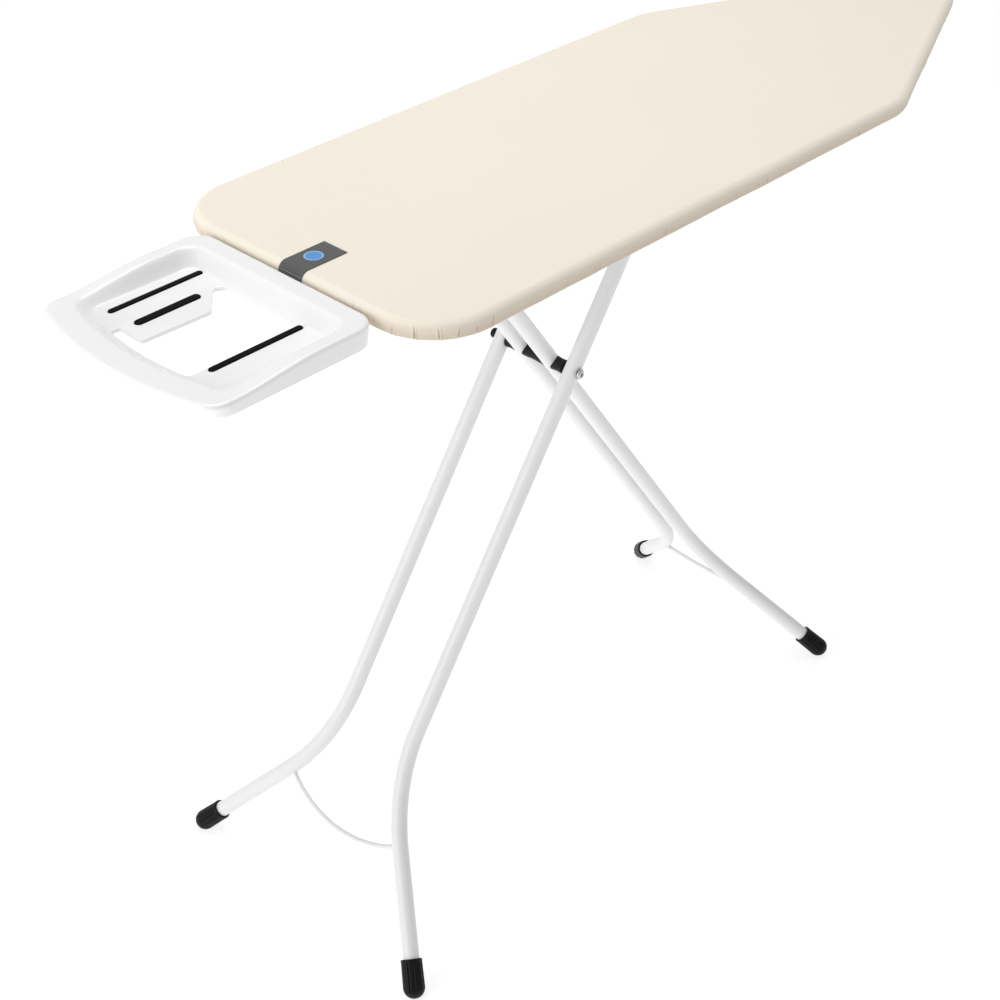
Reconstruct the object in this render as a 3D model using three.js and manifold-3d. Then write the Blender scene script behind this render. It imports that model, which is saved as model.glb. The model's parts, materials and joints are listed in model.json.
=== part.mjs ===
// A free-standing ironing board: a padded top on a folding scissor frame of steel tube, with an iron rest at
// its wide end. Millimetres, +Z up. X runs along the board, from the iron rest to the nose. "Left" pieces are
// on the +Y side and "right" pieces on the -Y side. The origin is on the floor, under the middle.
import * as THREE from "three";
import { mergeVertices } from "three/addons/utils/BufferGeometryUtils.js";
import Module from "manifold-3d";

const wasm = await Module();
wasm.setup();

const rad = THREE.MathUtils.degToRad;
const LEFT = 1;
const RIGHT = -1;
const GAP = 0.3; // between pieces that touch

// Board.
const HEIGHT = 959; // floor to ironing surface
const BOARD_LENGTH = 1240;
const BOARD_HALF_WIDTH = 225;
const REST_REACH = 248; // how far the iron rest stands out past the wide end
const HALF_LENGTH = (BOARD_LENGTH + REST_REACH) / 2;
const WIDE_END = REST_REACH - HALF_LENGTH;
const NOSE = HALF_LENGTH;
const TAPER_START = WIDE_END + 838;
const TAPER_SLOPE = 0.45;
const END_CORNER_RADIUS = 82;
const TAPER_CORNER_RADIUS = 90;
const OUTLINE_STEPS = 6; // even, so that the nose has a point on the middle line

// Layers of the top, from the fabric down.
const COVER_THICKNESS = 1.5;
const COVER_EDGE_RADIUS = 8;
const SKIRT_DEPTH = 22;
const HEM_RETURN = 16;
const PLATE_THICKNESS = 0.7;
const PLATE_TOP = HEIGHT - 9;
const PLATE_BOTTOM = PLATE_TOP - PLATE_THICKNESS;
const RIM_INSET = COVER_THICKNESS + 0.6;
const RIM_THICKNESS = 1.5;
const RIM_BOTTOM = HEIGHT - 19.5;
const UNDERSIDE = PLATE_BOTTOM - GAP; // the pieces below hang from here
const VENT_RADIUS = 12;
const VENT_PITCH_X = 112;
const VENT_PITCH_Y = 88;
const VENT_COLUMNS = 10;
const FIRST_VENT_X = WIDE_END + 130;
const VENT_MARGIN = 30; // least distance from a vent's middle to the edge of the top
const LABEL_THICKNESS = 0.8;
const LABEL_HALF_WIDTH = 19.5;
const LABEL_ON_TOP = 67;
const LABEL_DOWN = 15;

// Scissor frame. Both pairs of legs stand at LEAN from the vertical and cross at the pivot bolt.
const LEAN = rad(34.5);
const HINGE_Z = 925; // hinge rod of the inner legs and sliding rod of the outer legs
const HINGE_X = -272.4;
const UPPER_ARM = 295.6; // hinge to pivot bolt
const PIVOT_X = HINGE_X + UPPER_ARM * Math.sin(LEAN);
const PIVOT_Z = HINGE_Z - UPPER_ARM * Math.cos(LEAN);
const SLIDE_X = HINGE_X + 2 * UPPER_ARM * Math.sin(LEAN); // the sliding rod with the legs open
const TUBE_RADIUS = 11;
const TUBE_WALL = 1.2;
const TUBE_SIDES = 20;
const OUTER_Y = 62;
const INNER_Y = 25.5;
const BEND_START = 515; // below the pivot bolt, along the leg
const BEND_RADIUS = 255;
const BEND_STEPS = 6;
const OUTER_FLARE = rad(36.5);
const INNER_FLARE = rad(37.5);
const TUBE_PAST_ROD = 10; // the outer tubes run on above the sliding rod
const SLEEVE_HALF = 46; // half the length of the tube that the hinge rod runs through
const BRACE_RADIUS = 3;
const INNER_BRACE = { along: 677, sag: 15 }; // how far down the leg it is fixed, and how far it bows
const OUTER_BRACE = { along: 667, sag: 30 };

// Rails and rods under the plate.
const RAIL_OUTSIDE_Y = 92.5;
const RAIL_WIDTH = 15.5;
const RAIL_BOTTOM = 912;
const SHEET_STEEL = 1.2;
const BEAM_WIDTH = 24;
const REAR_BEAM = { x: WIDE_END + 86, bottom: 927.8, halfWidth: 205 };
const FRONT_BEAM = { x: 376, bottom: 930, halfWidth: 185 };
const RAIL_FROM_BEAM = 0.5;
const SLIDE_ROD_RADIUS = 6;
const HINGE_ROD_RADIUS = 5;

// Height lock: a notched bar on a long shaft. It is drawn lifted clear of the sliding rod.
const LOCK_LIFT = rad(14);
const SHAFT_Y = 26;
const SHAFT_Z = 942;
const SHAFT_RADIUS = 4;
const SHAFT_START = WIDE_END + 22;
const NOTCH_FOLDS = [0, 4.5, 9, 13.5, 18, 24, 50].map(rad); // fold of the legs at each notch
const GRIP = { fromX: WIDE_END + 19, toX: WIDE_END + 69, fromY: -52, toY: 10, corner: 8 };

// Feet and pivot stack.
const CAP_RADIUS = 14.5;
const CAP_LENGTH = 36;
const FOOT_ALONG = (PIVOT_Z - CAP_RADIUS) / Math.cos(LEAN); // pivot to the middle of the cap's domed end
const BOLT_RADIUS = 4;
const BOLT_HEAD = { radius: 6.5, height: 4.5 };
const WASHER_RADIUS = 8;
const WASHER_THICKNESS = 1.5;
const NUT_CAP_RADIUS = 7;
const SPACER_RADIUS = 9.5;

// Iron rest.
const REST_BACK = WIDE_END - 5;
const REST_FRONT = WIDE_END - REST_REACH;
const REST_HALF_WIDTH = 150;
const REST_BOW = 25;
const REST_CORNER = 27;
const REST_RIM_TOP = HEIGHT - 4.5;
const REST_RIM_DROP = 8.5;
const REST_DROP_FROM = WIDE_END - 85;
const REST_DROP_TO = WIDE_END - 195;
const REST_FLOOR = HEIGHT - 24;
const REST_BOTTOM = HEIGHT - 31;
const REST_WALL = 2.5;
const REST_RIM = { back: 27, front: 38, side: 20, slope: 9 }; // widths of the rim, and run of its inner slope
const REST_CORNER_STEPS = 5;
const ARM_Y = 86;
const ARM_HALF_WIDTH = 9;
const ARM_THICKNESS = 3;
const ARM_START = WIDE_END - 165;
const SCREW_PLACES = [-70, -150]; // along the arm, from the wide end
const SCREW_RADIUS = 2;

// ---------------------------------------------------------------------------------------------- materials

function finish(color, roughness, metalness = 0) {
  return new THREE.MeshStandardMaterial({ color, roughness, metalness });
}

const fabric = finish(0xf2ead9, 0.9);
const foam = finish(0xd9d4c8, 0.95);
const labelCloth = finish(0x55565a, 0.85);
const whitePaint = finish(0xf2f2f1, 0.35);
const bareSteel = finish(0xb9bcc0, 0.3, 1);
const blackPlastic = finish(0x161617, 0.5);
const whitePlastic = finish(0xf6f6f5, 0.25);
const silicone = finish(0x0e0e0f, 0.6);

// ------------------------------------------------------------------------------------------ shape helpers

// The solid of a closed geometry, for joining and cutting.
function solid(geometry) {
  const bare = geometry.clone();
  bare.deleteAttribute("normal");
  bare.deleteAttribute("uv");
  const merged = mergeVertices(bare, 1e-4);
  const vertProperties = new Float32Array(merged.attributes.position.array);
  const triVerts = new Uint32Array(merged.index.array);
  return new wasm.Manifold(new wasm.Mesh({ numProp: 3, vertProperties, triVerts }));
}

function geometryOf(body) {
  const mesh = body.getMesh();
  const geometry = new THREE.BufferGeometry();
  geometry.setAttribute("position", new THREE.BufferAttribute(new Float32Array(mesh.vertProperties), 3));
  geometry.setIndex(new THREE.BufferAttribute(new Uint32Array(mesh.triVerts), 1));
  geometry.computeVertexNormals();
  return geometry;
}

function cut(geometry, ...tools) {
  let body = solid(geometry);
  for (const tool of tools) body = body.subtract(solid(tool));
  return geometryOf(body);
}

function join(first, ...others) {
  let body = solid(first);
  for (const other of others) body = body.add(solid(other));
  return geometryOf(body);
}

function piece(name, geometry, material, parent) {
  const mesh = new THREE.Mesh(geometry, material);
  mesh.name = name;
  parent.add(mesh);
  return mesh;
}

// A box given by its lowest and highest corners.
function block(low, high) {
  const size = high.map((value, axis) => value - low[axis]);
  const middle = high.map((value, axis) => (value + low[axis]) / 2);
  return new THREE.BoxGeometry(...size).translate(...middle);
}

// A cylinder along Y between two places, centred on (x, z).
function rodAlongY(radius, fromY, toY, x = 0, z = 0, sides = 16) {
  const rod = new THREE.CylinderGeometry(radius, radius, toY - fromY, sides);
  return rod.translate(x, (fromY + toY) / 2, z);
}

function rodAlongX(radius, fromX, toX, y, z, sides = 12) {
  const rod = new THREE.CylinderGeometry(radius, radius, toX - fromX, sides);
  return rod.rotateZ(Math.PI / 2).translate((fromX + toX) / 2, y, z);
}

function rodAlongZ(radius, fromZ, toZ, x, y, sides = 12) {
  const rod = new THREE.CylinderGeometry(radius, radius, toZ - fromZ, sides);
  return rod.rotateX(Math.PI / 2).translate(x, y, (fromZ + toZ) / 2);
}

// An outline drawn in X and Z, thickened along Y.
function plateAlongY(points, fromY, toY) {
  const shape = new THREE.Shape(points.map(([x, z]) => new THREE.Vector2(x, z)));
  const plate = new THREE.ExtrudeGeometry(shape, { depth: toY - fromY, bevelEnabled: false });
  return plate.rotateX(Math.PI / 2).translate(0, toY, 0);
}

// A polygon with rounded corners, anticlockwise: [x, y, radius] for each corner. inset moves it inwards.
function roundedOutline(corners, steps, inset = 0) {
  const points = [];
  const at = (i) => new THREE.Vector2(...corners[(i + corners.length) % corners.length]);
  corners.forEach(([, , radius], i) => {
    const here = at(i);
    if (!radius) {
      points.push(here);
      return;
    }
    const toBefore = at(i - 1).sub(here).normalize();
    const toAfter = at(i + 1).sub(here).normalize();
    const half = Math.acos(toBefore.dot(toAfter)) / 2;
    const inwards = toBefore.clone().add(toAfter).normalize();
    const centre = inwards.multiplyScalar(radius / Math.sin(half)).add(here);
    const start = toBefore.clone().multiplyScalar(radius / Math.tan(half)).add(here).sub(centre).angle();
    const turn = Math.PI - 2 * half;
    const side = Math.sign(toAfter.cross(toBefore));
    for (let k = 0; k <= steps; k += 1) {
      const angle = start + (side * turn * k) / steps;
      const arm = new THREE.Vector2(Math.cos(angle), Math.sin(angle)).multiplyScalar(radius - inset);
      points.push(arm.add(centre));
    }
  });
  return points;
}

// A closed solid through a stack of outlines with the same number of points, closed over both ends.
function loft(rings) {
  const count = rings[0].length;
  const positions = rings.flat().flatMap((point) => [point.x, point.y, point.z]);
  const index = [];
  for (let r = 0; r + 1 < rings.length; r += 1) {
    for (let i = 0; i < count; i += 1) {
      const a = r * count + i;
      const b = r * count + ((i + 1) % count);
      index.push(a, b, b + count, a, b + count, a + count);
    }
  }
  const close = (ring, base, flip) => {
    const flat = ring.map((point) => new THREE.Vector2(point.x, point.y));
    for (const [a, b, c] of THREE.ShapeUtils.triangulateShape(flat, [])) {
      index.push(...(flip ? [base + c, base + b, base + a] : [base + a, base + b, base + c]));
    }
  };
  close(rings[0], 0, true);
  close(rings[rings.length - 1], (rings.length - 1) * count, false);
  const geometry = new THREE.BufferGeometry();
  geometry.setAttribute("position", new THREE.Float32BufferAttribute(positions, 3));
  geometry.setIndex(index);
  geometry.computeVertexNormals();
  return geometry;
}

function level(outline, z) {
  return outline.map((point) => new THREE.Vector3(point.x, point.y, z));
}

// A straight-sided solid over an outline.
function prism(outline, fromZ, toZ) {
  return loft([level(outline, fromZ), level(outline, toZ)]);
}

// A centre line given by its stations, for sweeping a section along it.
class Route extends THREE.Curve {
  constructor(stations) {
    super();
    this.stations = stations;
  }
  station(u) {
    return this.stations[Math.round(u * (this.stations.length - 1))];
  }
  getPointAt(u) {
    return this.station(u).point.clone();
  }
  getTangentAt(u) {
    return this.station(u).along.clone();
  }
}

function sweep(route, radius, sides, boreRadius = 0) {
  const section = new THREE.Shape();
  section.absarc(0, 0, radius, 0, 2 * Math.PI);
  if (boreRadius) section.holes.push(new THREE.Path().absarc(0, 0, boreRadius, 0, 2 * Math.PI, true));
  return new THREE.ExtrudeGeometry(section, {
    steps: route.stations.length - 1,
    curveSegments: sides / 2,
    extrudePath: route,
  });
}

// -------------------------------------------------------------------------------------------- padded top

const taperTip = TAPER_START + BOARD_HALF_WIDTH / TAPER_SLOPE;
const taperLength = Math.hypot(1, TAPER_SLOPE);
const noseRadius = (TAPER_SLOPE * (taperTip - NOSE)) / (taperLength - TAPER_SLOPE);

function boardOutline(inset) {
  return roundedOutline([
    [WIDE_END, BOARD_HALF_WIDTH, END_CORNER_RADIUS],
    [WIDE_END, -BOARD_HALF_WIDTH, END_CORNER_RADIUS],
    [TAPER_START, -BOARD_HALF_WIDTH, TAPER_CORNER_RADIUS],
    [taperTip, 0, noseRadius],
    [TAPER_START, BOARD_HALF_WIDTH, TAPER_CORNER_RADIUS],
  ], OUTLINE_STEPS, inset);
}

const boardRing = (inset, z) => level(boardOutline(inset), z);

// The fabric: over the top, round the edge, down the skirt and turned in under the rim.
function coverGeometry() {
  const t = COVER_THICKNESS;
  const r = COVER_EDGE_RADIUS;
  const bottom = HEIGHT - SKIRT_DEPTH;
  const diagonal = r * (1 - Math.SQRT1_2);
  const inner = [
    boardRing(r, HEIGHT - t),
    boardRing(t + diagonal * 0.75, HEIGHT - t - diagonal * 0.75),
    boardRing(t, HEIGHT - r),
    boardRing(t, bottom + t),
    boardRing(HEM_RETURN, bottom + t),
  ];
  const outer = [
    boardRing(HEM_RETURN, bottom),
    boardRing(1, bottom),
    boardRing(0, bottom + 1),
    boardRing(0, HEIGHT - r),
    boardRing(diagonal, HEIGHT - diagonal),
    boardRing(r, HEIGHT),
  ];
  return loft([...inner, ...outer]);
}

function foamGeometry() {
  const bottom = PLATE_TOP + GAP;
  const top = HEIGHT - COVER_THICKNESS - GAP;
  return loft([
    boardRing(RIM_INSET, bottom),
    boardRing(RIM_INSET, bottom + 1),
    boardRing(RIM_INSET + 3, top - 2),
    boardRing(RIM_INSET + 7, top),
  ]);
}

// The steel plate, with a staggered field of vents for the steam.
function plateGeometry() {
  const vents = [];
  for (let column = 0; column < VENT_COLUMNS; column += 1) {
    const staggered = column % 2 === 1;
    for (let row = staggered ? -1.5 : -2; row <= 2; row += 1) {
      const x = FIRST_VENT_X + column * VENT_PITCH_X;
      const y = row * VENT_PITCH_Y;
      const halfWidthHere = Math.min(BOARD_HALF_WIDTH, (taperTip - x) * TAPER_SLOPE);
      if (Math.abs(y) < halfWidthHere - VENT_MARGIN) {
        vents.push(rodAlongZ(VENT_RADIUS, PLATE_BOTTOM - 1, PLATE_TOP + 1, x, y, 8));
      }
    }
  }
  return cut(prism(boardOutline(RIM_INSET), PLATE_BOTTOM, PLATE_TOP), ...vents);
}

function rimGeometry() {
  const outside = prism(boardOutline(RIM_INSET), RIM_BOTTOM, UNDERSIDE);
  const inside = prism(boardOutline(RIM_INSET + RIM_THICKNESS), RIM_BOTTOM - 1, UNDERSIDE + 1);
  return cut(outside, inside);
}

// A woven band folded over the wide end: it lies on the top, rounds the edge and hangs down the skirt.
function labelGeometry() {
  const centre = [WIDE_END + COVER_EDGE_RADIUS, HEIGHT - COVER_EDGE_RADIUS];
  const line = (offset, backwards) => {
    const radius = COVER_EDGE_RADIUS + offset;
    const points = [[WIDE_END + LABEL_ON_TOP, HEIGHT + offset]];
    for (let k = 0; k <= 4; k += 1) {
      const angle = Math.PI / 2 + (Math.PI / 2) * (k / 4);
      points.push([centre[0] + radius * Math.cos(angle), centre[1] + radius * Math.sin(angle)]);
    }
    points.push([WIDE_END - offset, HEIGHT - LABEL_DOWN]);
    return backwards ? points.reverse() : points;
  };
  const section = [...line(GAP + LABEL_THICKNESS, false), ...line(GAP, true)];
  return plateAlongY(section, -LABEL_HALF_WIDTH, LABEL_HALF_WIDTH);
}

function addPaddedTop(parent) {
  piece("top_plate", plateGeometry(), whitePaint, parent);
  piece("edge_rim", rimGeometry(), whitePaint, parent);
  piece("foam_pad", foamGeometry(), foam, parent);
  piece("fabric_cover", coverGeometry(), fabric, parent);
  piece("cover_label", labelGeometry(), labelCloth, parent);
}

// ---------------------------------------------------------------------------------- rails, beams and rods

// A channel that opens towards the middle of the board; the glides run in it.
function railGeometry(side) {
  const fromX = REAR_BEAM.x + BEAM_WIDTH / 2 + RAIL_FROM_BEAM;
  const toX = FRONT_BEAM.x - BEAM_WIDTH / 2 - RAIL_FROM_BEAM;
  const outside = block([fromX, RAIL_OUTSIDE_Y - RAIL_WIDTH, RAIL_BOTTOM], [toX, RAIL_OUTSIDE_Y, UNDERSIDE]);
  const channel = block([-HALF_LENGTH, 0, RAIL_BOTTOM + SHEET_STEEL],
    [HALF_LENGTH, RAIL_OUTSIDE_Y - SHEET_STEEL, UNDERSIDE - SHEET_STEEL]);
  const rodHole = rodAlongY(HINGE_ROD_RADIUS + GAP, 0, RAIL_OUTSIDE_Y + 1, HINGE_X, HINGE_Z);
  const rail = cut(outside, channel, rodHole);
  return side === LEFT ? rail : mirrored(rail);
}

// The same piece on the other side of the board.
function mirrored(geometry) {
  const copy = geometry.clone().scale(1, -1, 1);
  const index = Array.from(copy.index.array);
  for (let i = 0; i < index.length; i += 3) [index[i], index[i + 1]] = [index[i + 1], index[i]];
  copy.setIndex(index);
  copy.computeVertexNormals();
  return copy;
}

// A folded beam across the board, open below, with a hole for the lock shaft.
function beamGeometry({ x, bottom, halfWidth }) {
  const half = BEAM_WIDTH / 2;
  const outside = block([x - half, -halfWidth, bottom], [x + half, halfWidth, UNDERSIDE]);
  const inside = block([x - half + SHEET_STEEL, -halfWidth - 1, bottom - 1],
    [x + half - SHEET_STEEL, halfWidth + 1, UNDERSIDE - SHEET_STEEL]);
  const shaftHole = rodAlongX(SHAFT_RADIUS + 0.5, x - half - 1, x + half + 1, SHAFT_Y, SHAFT_Z, 16);
  return cut(outside, inside, shaftHole);
}

function addUnderframe(parent) {
  piece("rail_left", railGeometry(LEFT), whitePaint, parent);
  piece("rail_right", railGeometry(RIGHT), whitePaint, parent);
  piece("rear_cross_beam", beamGeometry(REAR_BEAM), whitePaint, parent);
  piece("front_cross_beam", beamGeometry(FRONT_BEAM), whitePaint, parent);
  const headStart = RAIL_OUTSIDE_Y + GAP;
  const headEnd = headStart + 3;
  const headRadius = HINGE_ROD_RADIUS + 3;
  piece("hinge_rod", join(
    rodAlongY(HINGE_ROD_RADIUS, -headEnd, headEnd, HINGE_X, HINGE_Z),
    rodAlongY(headRadius, headStart, headEnd, HINGE_X, HINGE_Z),
    rodAlongY(headRadius, -headEnd, -headStart, HINGE_X, HINGE_Z),
  ), bareSteel, parent);
}

// -------------------------------------------------------------------------------------------- height lock

// Where the sliding rod stands when the legs are folded by an angle.
function slideAt(fold) {
  return HINGE_X + 2 * UPPER_ARM * Math.sin(LEAN + fold);
}

// The notched bar: a flange on the shaft and a web of teeth that drops round the sliding rod.
function rackGeometry() {
  const from = SLIDE_X - 22;
  const to = slideAt(NOTCH_FOLDS[NOTCH_FOLDS.length - 1]) + 18;
  const toothBottom = -16;
  const notchTop = -9.5;
  const flangeTop = -3;
  const halfNotch = SLIDE_ROD_RADIUS + 0.8;
  const edge = [[from, toothBottom]];
  for (const fold of NOTCH_FOLDS) {
    const x = slideAt(fold);
    edge.push([x - halfNotch, toothBottom], [x - halfNotch + 2, notchTop]);
    edge.push([x + halfNotch - 2, notchTop], [x + halfNotch, toothBottom]);
  }
  edge.push([to, toothBottom], [to, flangeTop], [from, flangeTop]);
  const web = plateAlongY(edge, -SHAFT_Y - 1, -SHAFT_Y + 1);
  const flange = block([from, -SHAFT_Y, flangeTop - 2], [to, -SHAFT_RADIUS + 0.2, flangeTop]);
  const weldedEdge = block([from, -SHAFT_RADIUS - 2, flangeTop - 2], [to, -SHAFT_RADIUS - GAP, 0]);
  return join(web, flange, weldedEdge);
}

// An outline of the grip's paddle, moved in by an amount.
function gripOutline(inset) {
  const corner = GRIP.corner - inset / 3;
  return roundedOutline([
    [GRIP.fromX + inset, GRIP.fromY + inset, corner], [GRIP.toX - inset, GRIP.fromY + inset, corner],
    [GRIP.toX - inset, GRIP.toY - inset, corner], [GRIP.fromX + inset, GRIP.toY - inset, corner],
  ], 4);
}

// The lever that the hand squeezes up towards the plate.
function gripGeometry() {
  const paddle = loft([
    level(gripOutline(3), -19),
    level(gripOutline(0), -16.5),
    level(gripOutline(0), -11),
    level(gripOutline(2), -9.5),
  ]);
  const hubStart = GRIP.fromX + 7;
  const hubEnd = hubStart + 32;
  const hub = rodAlongX(6.2, hubStart, hubEnd, 0, 0, 16);
  const neck = block([hubStart, -6, -14], [hubEnd, 6, 0]);
  const socket = rodAlongX(SHAFT_RADIUS + GAP, -HALF_LENGTH, hubEnd + 1, 0, 0);
  return cut(join(paddle, hub, neck), socket);
}

function addHeightLock(parent) {
  const lock = new THREE.Group();
  lock.position.set(0, SHAFT_Y, SHAFT_Z);
  lock.rotation.x = -LOCK_LIFT;
  parent.add(lock);
  const shaftEnd = FRONT_BEAM.x + BEAM_WIDTH / 2 + 5;
  piece("lock_shaft", rodAlongX(SHAFT_RADIUS, SHAFT_START, shaftEnd, 0, 0), bareSteel, lock);
  piece("height_rack", rackGeometry(), bareSteel, lock);
  piece("release_grip", gripGeometry(), blackPlastic, lock);
  // A torsion spring, wound close, round the shaft beside the rear beam.
  const coilStart = REAR_BEAM.x + BEAM_WIDTH / 2 + 2;
  const coilEnd = coilStart + 22;
  const coil = cut(rodAlongX(5.8, coilStart, coilEnd, SHAFT_Y, SHAFT_Z, 16),
    rodAlongX(4.6, coilStart - 1, coilEnd + 1, SHAFT_Y, SHAFT_Z, 16));
  piece("lock_spring", coil, bareSteel, parent);
}

// --------------------------------------------------------------------------------------------------- legs

// Leg frames are drawn about the pivot bolt, with -Z running down the leg, and then leaned over.
function legRoute(y, side, top, flare) {
  const stations = [
    { point: new THREE.Vector3(0, side * y, top), along: new THREE.Vector3(0, 0, -1) },
  ];
  for (let k = 0; k <= BEND_STEPS; k += 1) {
    const angle = (flare * k) / BEND_STEPS;
    const out = y + BEND_RADIUS * (1 - Math.cos(angle));
    const down = BEND_START + BEND_RADIUS * Math.sin(angle);
    stations.push({
      point: new THREE.Vector3(0, side * out, -down),
      along: new THREE.Vector3(0, side * Math.sin(angle), -Math.cos(angle)),
    });
  }
  const foot = footPoint(y, side, flare);
  const along = stations[stations.length - 1].along;
  stations.push({ point: foot.addScaledVector(along, -7), along });
  return new Route(stations);
}

// The middle of the foot cap's domed end.
function footPoint(y, side, flare) {
  const bendOut = y + BEND_RADIUS * (1 - Math.cos(flare));
  const bendDown = BEND_START + BEND_RADIUS * Math.sin(flare);
  const out = bendOut + (FOOT_ALONG - bendDown) * Math.tan(flare);
  return new THREE.Vector3(0, side * out, -FOOT_ALONG);
}

// A hollow tube, drilled for the pivot bolt and cut by whatever it meets at its top.
function legGeometry(route, y, side, topCut) {
  const tube = sweep(route, TUBE_RADIUS, TUBE_SIDES, TUBE_RADIUS - TUBE_WALL);
  const middle = side * y;
  const boltHole = rodAlongY(BOLT_RADIUS + GAP, middle - 20, middle + 20);
  return cut(tube, boltHole, topCut);
}

// The space that a straight tube at y needs, about the pivot bolt.
function tubeSpace(y) {
  return rodAlongZ(TUBE_RADIUS + GAP, -30, 30, 0, y, 24);
}

// A thin wire bowed across a leg frame, with its ends against the tubes.
function braceGeometry(y, flare, { along, sag }) {
  const bendDown = BEND_START + BEND_RADIUS * Math.sin(flare);
  const bendOut = y + BEND_RADIUS * (1 - Math.cos(flare));
  const reach = bendOut + (along - bendDown) * Math.tan(flare);
  const radius = (reach * reach + sag * sag) / (2 * sag);
  const halfAngle = Math.asin(reach / radius);
  const steps = 12;
  const stations = [];
  for (let k = 0; k <= steps; k += 1) {
    const angle = halfAngle * ((2 * k) / steps - 1);
    stations.push({
      point: new THREE.Vector3(0, radius * Math.sin(angle), -along - sag + radius * (1 - Math.cos(angle))),
      along: new THREE.Vector3(0, Math.cos(angle), Math.sin(angle)),
    });
  }
  const tubes = [LEFT, RIGHT].map((side) => {
    const route = legRoute(y, side, 0, flare);
    return sweep(route, TUBE_RADIUS + GAP, TUBE_SIDES);
  });
  return cut(sweep(new Route(stations), BRACE_RADIUS, 8), ...tubes);
}

// A rubber cap with a socket for the tube and a domed end.
function capGeometry() {
  const socket = TUBE_RADIUS + GAP;
  const profile = [
    new THREE.Vector2(0, -CAP_RADIUS),
  ];
  const domeSteps = 5;
  for (let k = 1; k <= domeSteps; k += 1) {
    const angle = ((Math.PI / 2) * k) / domeSteps;
    profile.push(new THREE.Vector2(CAP_RADIUS * Math.sin(angle), -CAP_RADIUS * Math.cos(angle)));
  }
  profile.push(new THREE.Vector2(CAP_RADIUS - 0.8, CAP_LENGTH));
  profile.push(new THREE.Vector2(socket, CAP_LENGTH));
  profile.push(new THREE.Vector2(socket, 6));
  profile.push(new THREE.Vector2(0, 6));
  return new THREE.LatheGeometry(profile, 18).rotateX(Math.PI / 2);
}

function addFootCap(name, y, side, flare, legs) {
  const cap = piece(name, capGeometry(), blackPlastic, legs);
  cap.position.copy(footPoint(y, side, flare));
  cap.rotation.x = side * flare;
}

function legFrame(lean) {
  const legs = new THREE.Group();
  legs.position.set(PIVOT_X, 0, PIVOT_Z);
  legs.rotation.y = lean;
  return legs;
}

function addInnerLegs(parent) {
  const legs = legFrame(-LEAN);
  parent.add(legs);
  const top = UPPER_ARM;
  const sleeveSpace = rodAlongY(TUBE_RADIUS + GAP, -100, 100, 0, top, 24);
  for (const [word, side] of [["left", LEFT], ["right", RIGHT]]) {
    const route = legRoute(INNER_Y, side, top, INNER_FLARE);
    piece(`inner_leg_${word}`, legGeometry(route, INNER_Y, side, sleeveSpace), whitePaint, legs);
    addFootCap(`inner_foot_cap_${word}`, INNER_Y, side, INNER_FLARE, legs);
    // A flanged bush in each end of the top tube, turning on the hinge rod.
    const bore = rodAlongY(HINGE_ROD_RADIUS + GAP, -100, 100, 0, top);
    const flangeStart = SLEEVE_HALF + GAP;
    const flangeEnd = flangeStart + 2;
    const plug = rodAlongY(TUBE_RADIUS - TUBE_WALL - GAP, SLEEVE_HALF - 12, flangeEnd, 0, top);
    const flange = rodAlongY(TUBE_RADIUS, flangeStart, flangeEnd, 0, top);
    const bush = cut(join(plug, flange), bore);
    piece(`hinge_bush_${word}`, side === LEFT ? bush : mirrored(bush), blackPlastic, legs);
    // A spacer that sits on the inner tube and bears flat against the outer one.
    const spacer = cut(rodAlongY(SPACER_RADIUS, INNER_Y + 5, OUTER_Y - TUBE_RADIUS - GAP, 0, 0, 20),
      tubeSpace(INNER_Y), rodAlongY(BOLT_RADIUS + GAP, 0, 100));
    piece(`side_spacer_${word}`, side === LEFT ? spacer : mirrored(spacer), blackPlastic, legs);
  }
  const sleeve = cut(rodAlongY(TUBE_RADIUS, -SLEEVE_HALF, SLEEVE_HALF, 0, top, 24),
    rodAlongY(TUBE_RADIUS - TUBE_WALL, -SLEEVE_HALF - 1, SLEEVE_HALF + 1, 0, top, 24));
  piece("inner_top_tube", sleeve, whitePaint, legs);
  piece("inner_brace_wire", braceGeometry(INNER_Y, INNER_FLARE, INNER_BRACE), whitePaint, legs);
  // The spacer between the two inner tubes, hollowed at both ends to sit on them.
  const centreSpacer = cut(rodAlongY(SPACER_RADIUS, -INNER_Y + 5, INNER_Y - 5, 0, 0, 20),
    tubeSpace(INNER_Y), tubeSpace(-INNER_Y), rodAlongY(BOLT_RADIUS + GAP, -40, 40));
  piece("centre_spacer", centreSpacer, blackPlastic, legs);
}

function addOuterLegs(parent) {
  const legs = legFrame(LEAN);
  parent.add(legs);
  const rodHole = rodAlongY(SLIDE_ROD_RADIUS + GAP, -100, 100, 0, UPPER_ARM);
  for (const [word, side] of [["left", LEFT], ["right", RIGHT]]) {
    const route = legRoute(OUTER_Y, side, UPPER_ARM + TUBE_PAST_ROD, OUTER_FLARE);
    piece(`outer_leg_${word}`, legGeometry(route, OUTER_Y, side, rodHole), whitePaint, legs);
    addFootCap(`outer_foot_cap_${word}`, OUTER_Y, side, OUTER_FLARE, legs);
  }
  const rodEnd = RAIL_OUTSIDE_Y - SHEET_STEEL - 1;
  const topRod = rodAlongY(SLIDE_ROD_RADIUS, -rodEnd, rodEnd, 0, UPPER_ARM);
  piece("outer_top_rod", topRod, bareSteel, legs);
  piece("outer_brace_wire", braceGeometry(OUTER_Y, OUTER_FLARE, OUTER_BRACE), whitePaint, legs);

  addPivotStack(legs);
}

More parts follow.
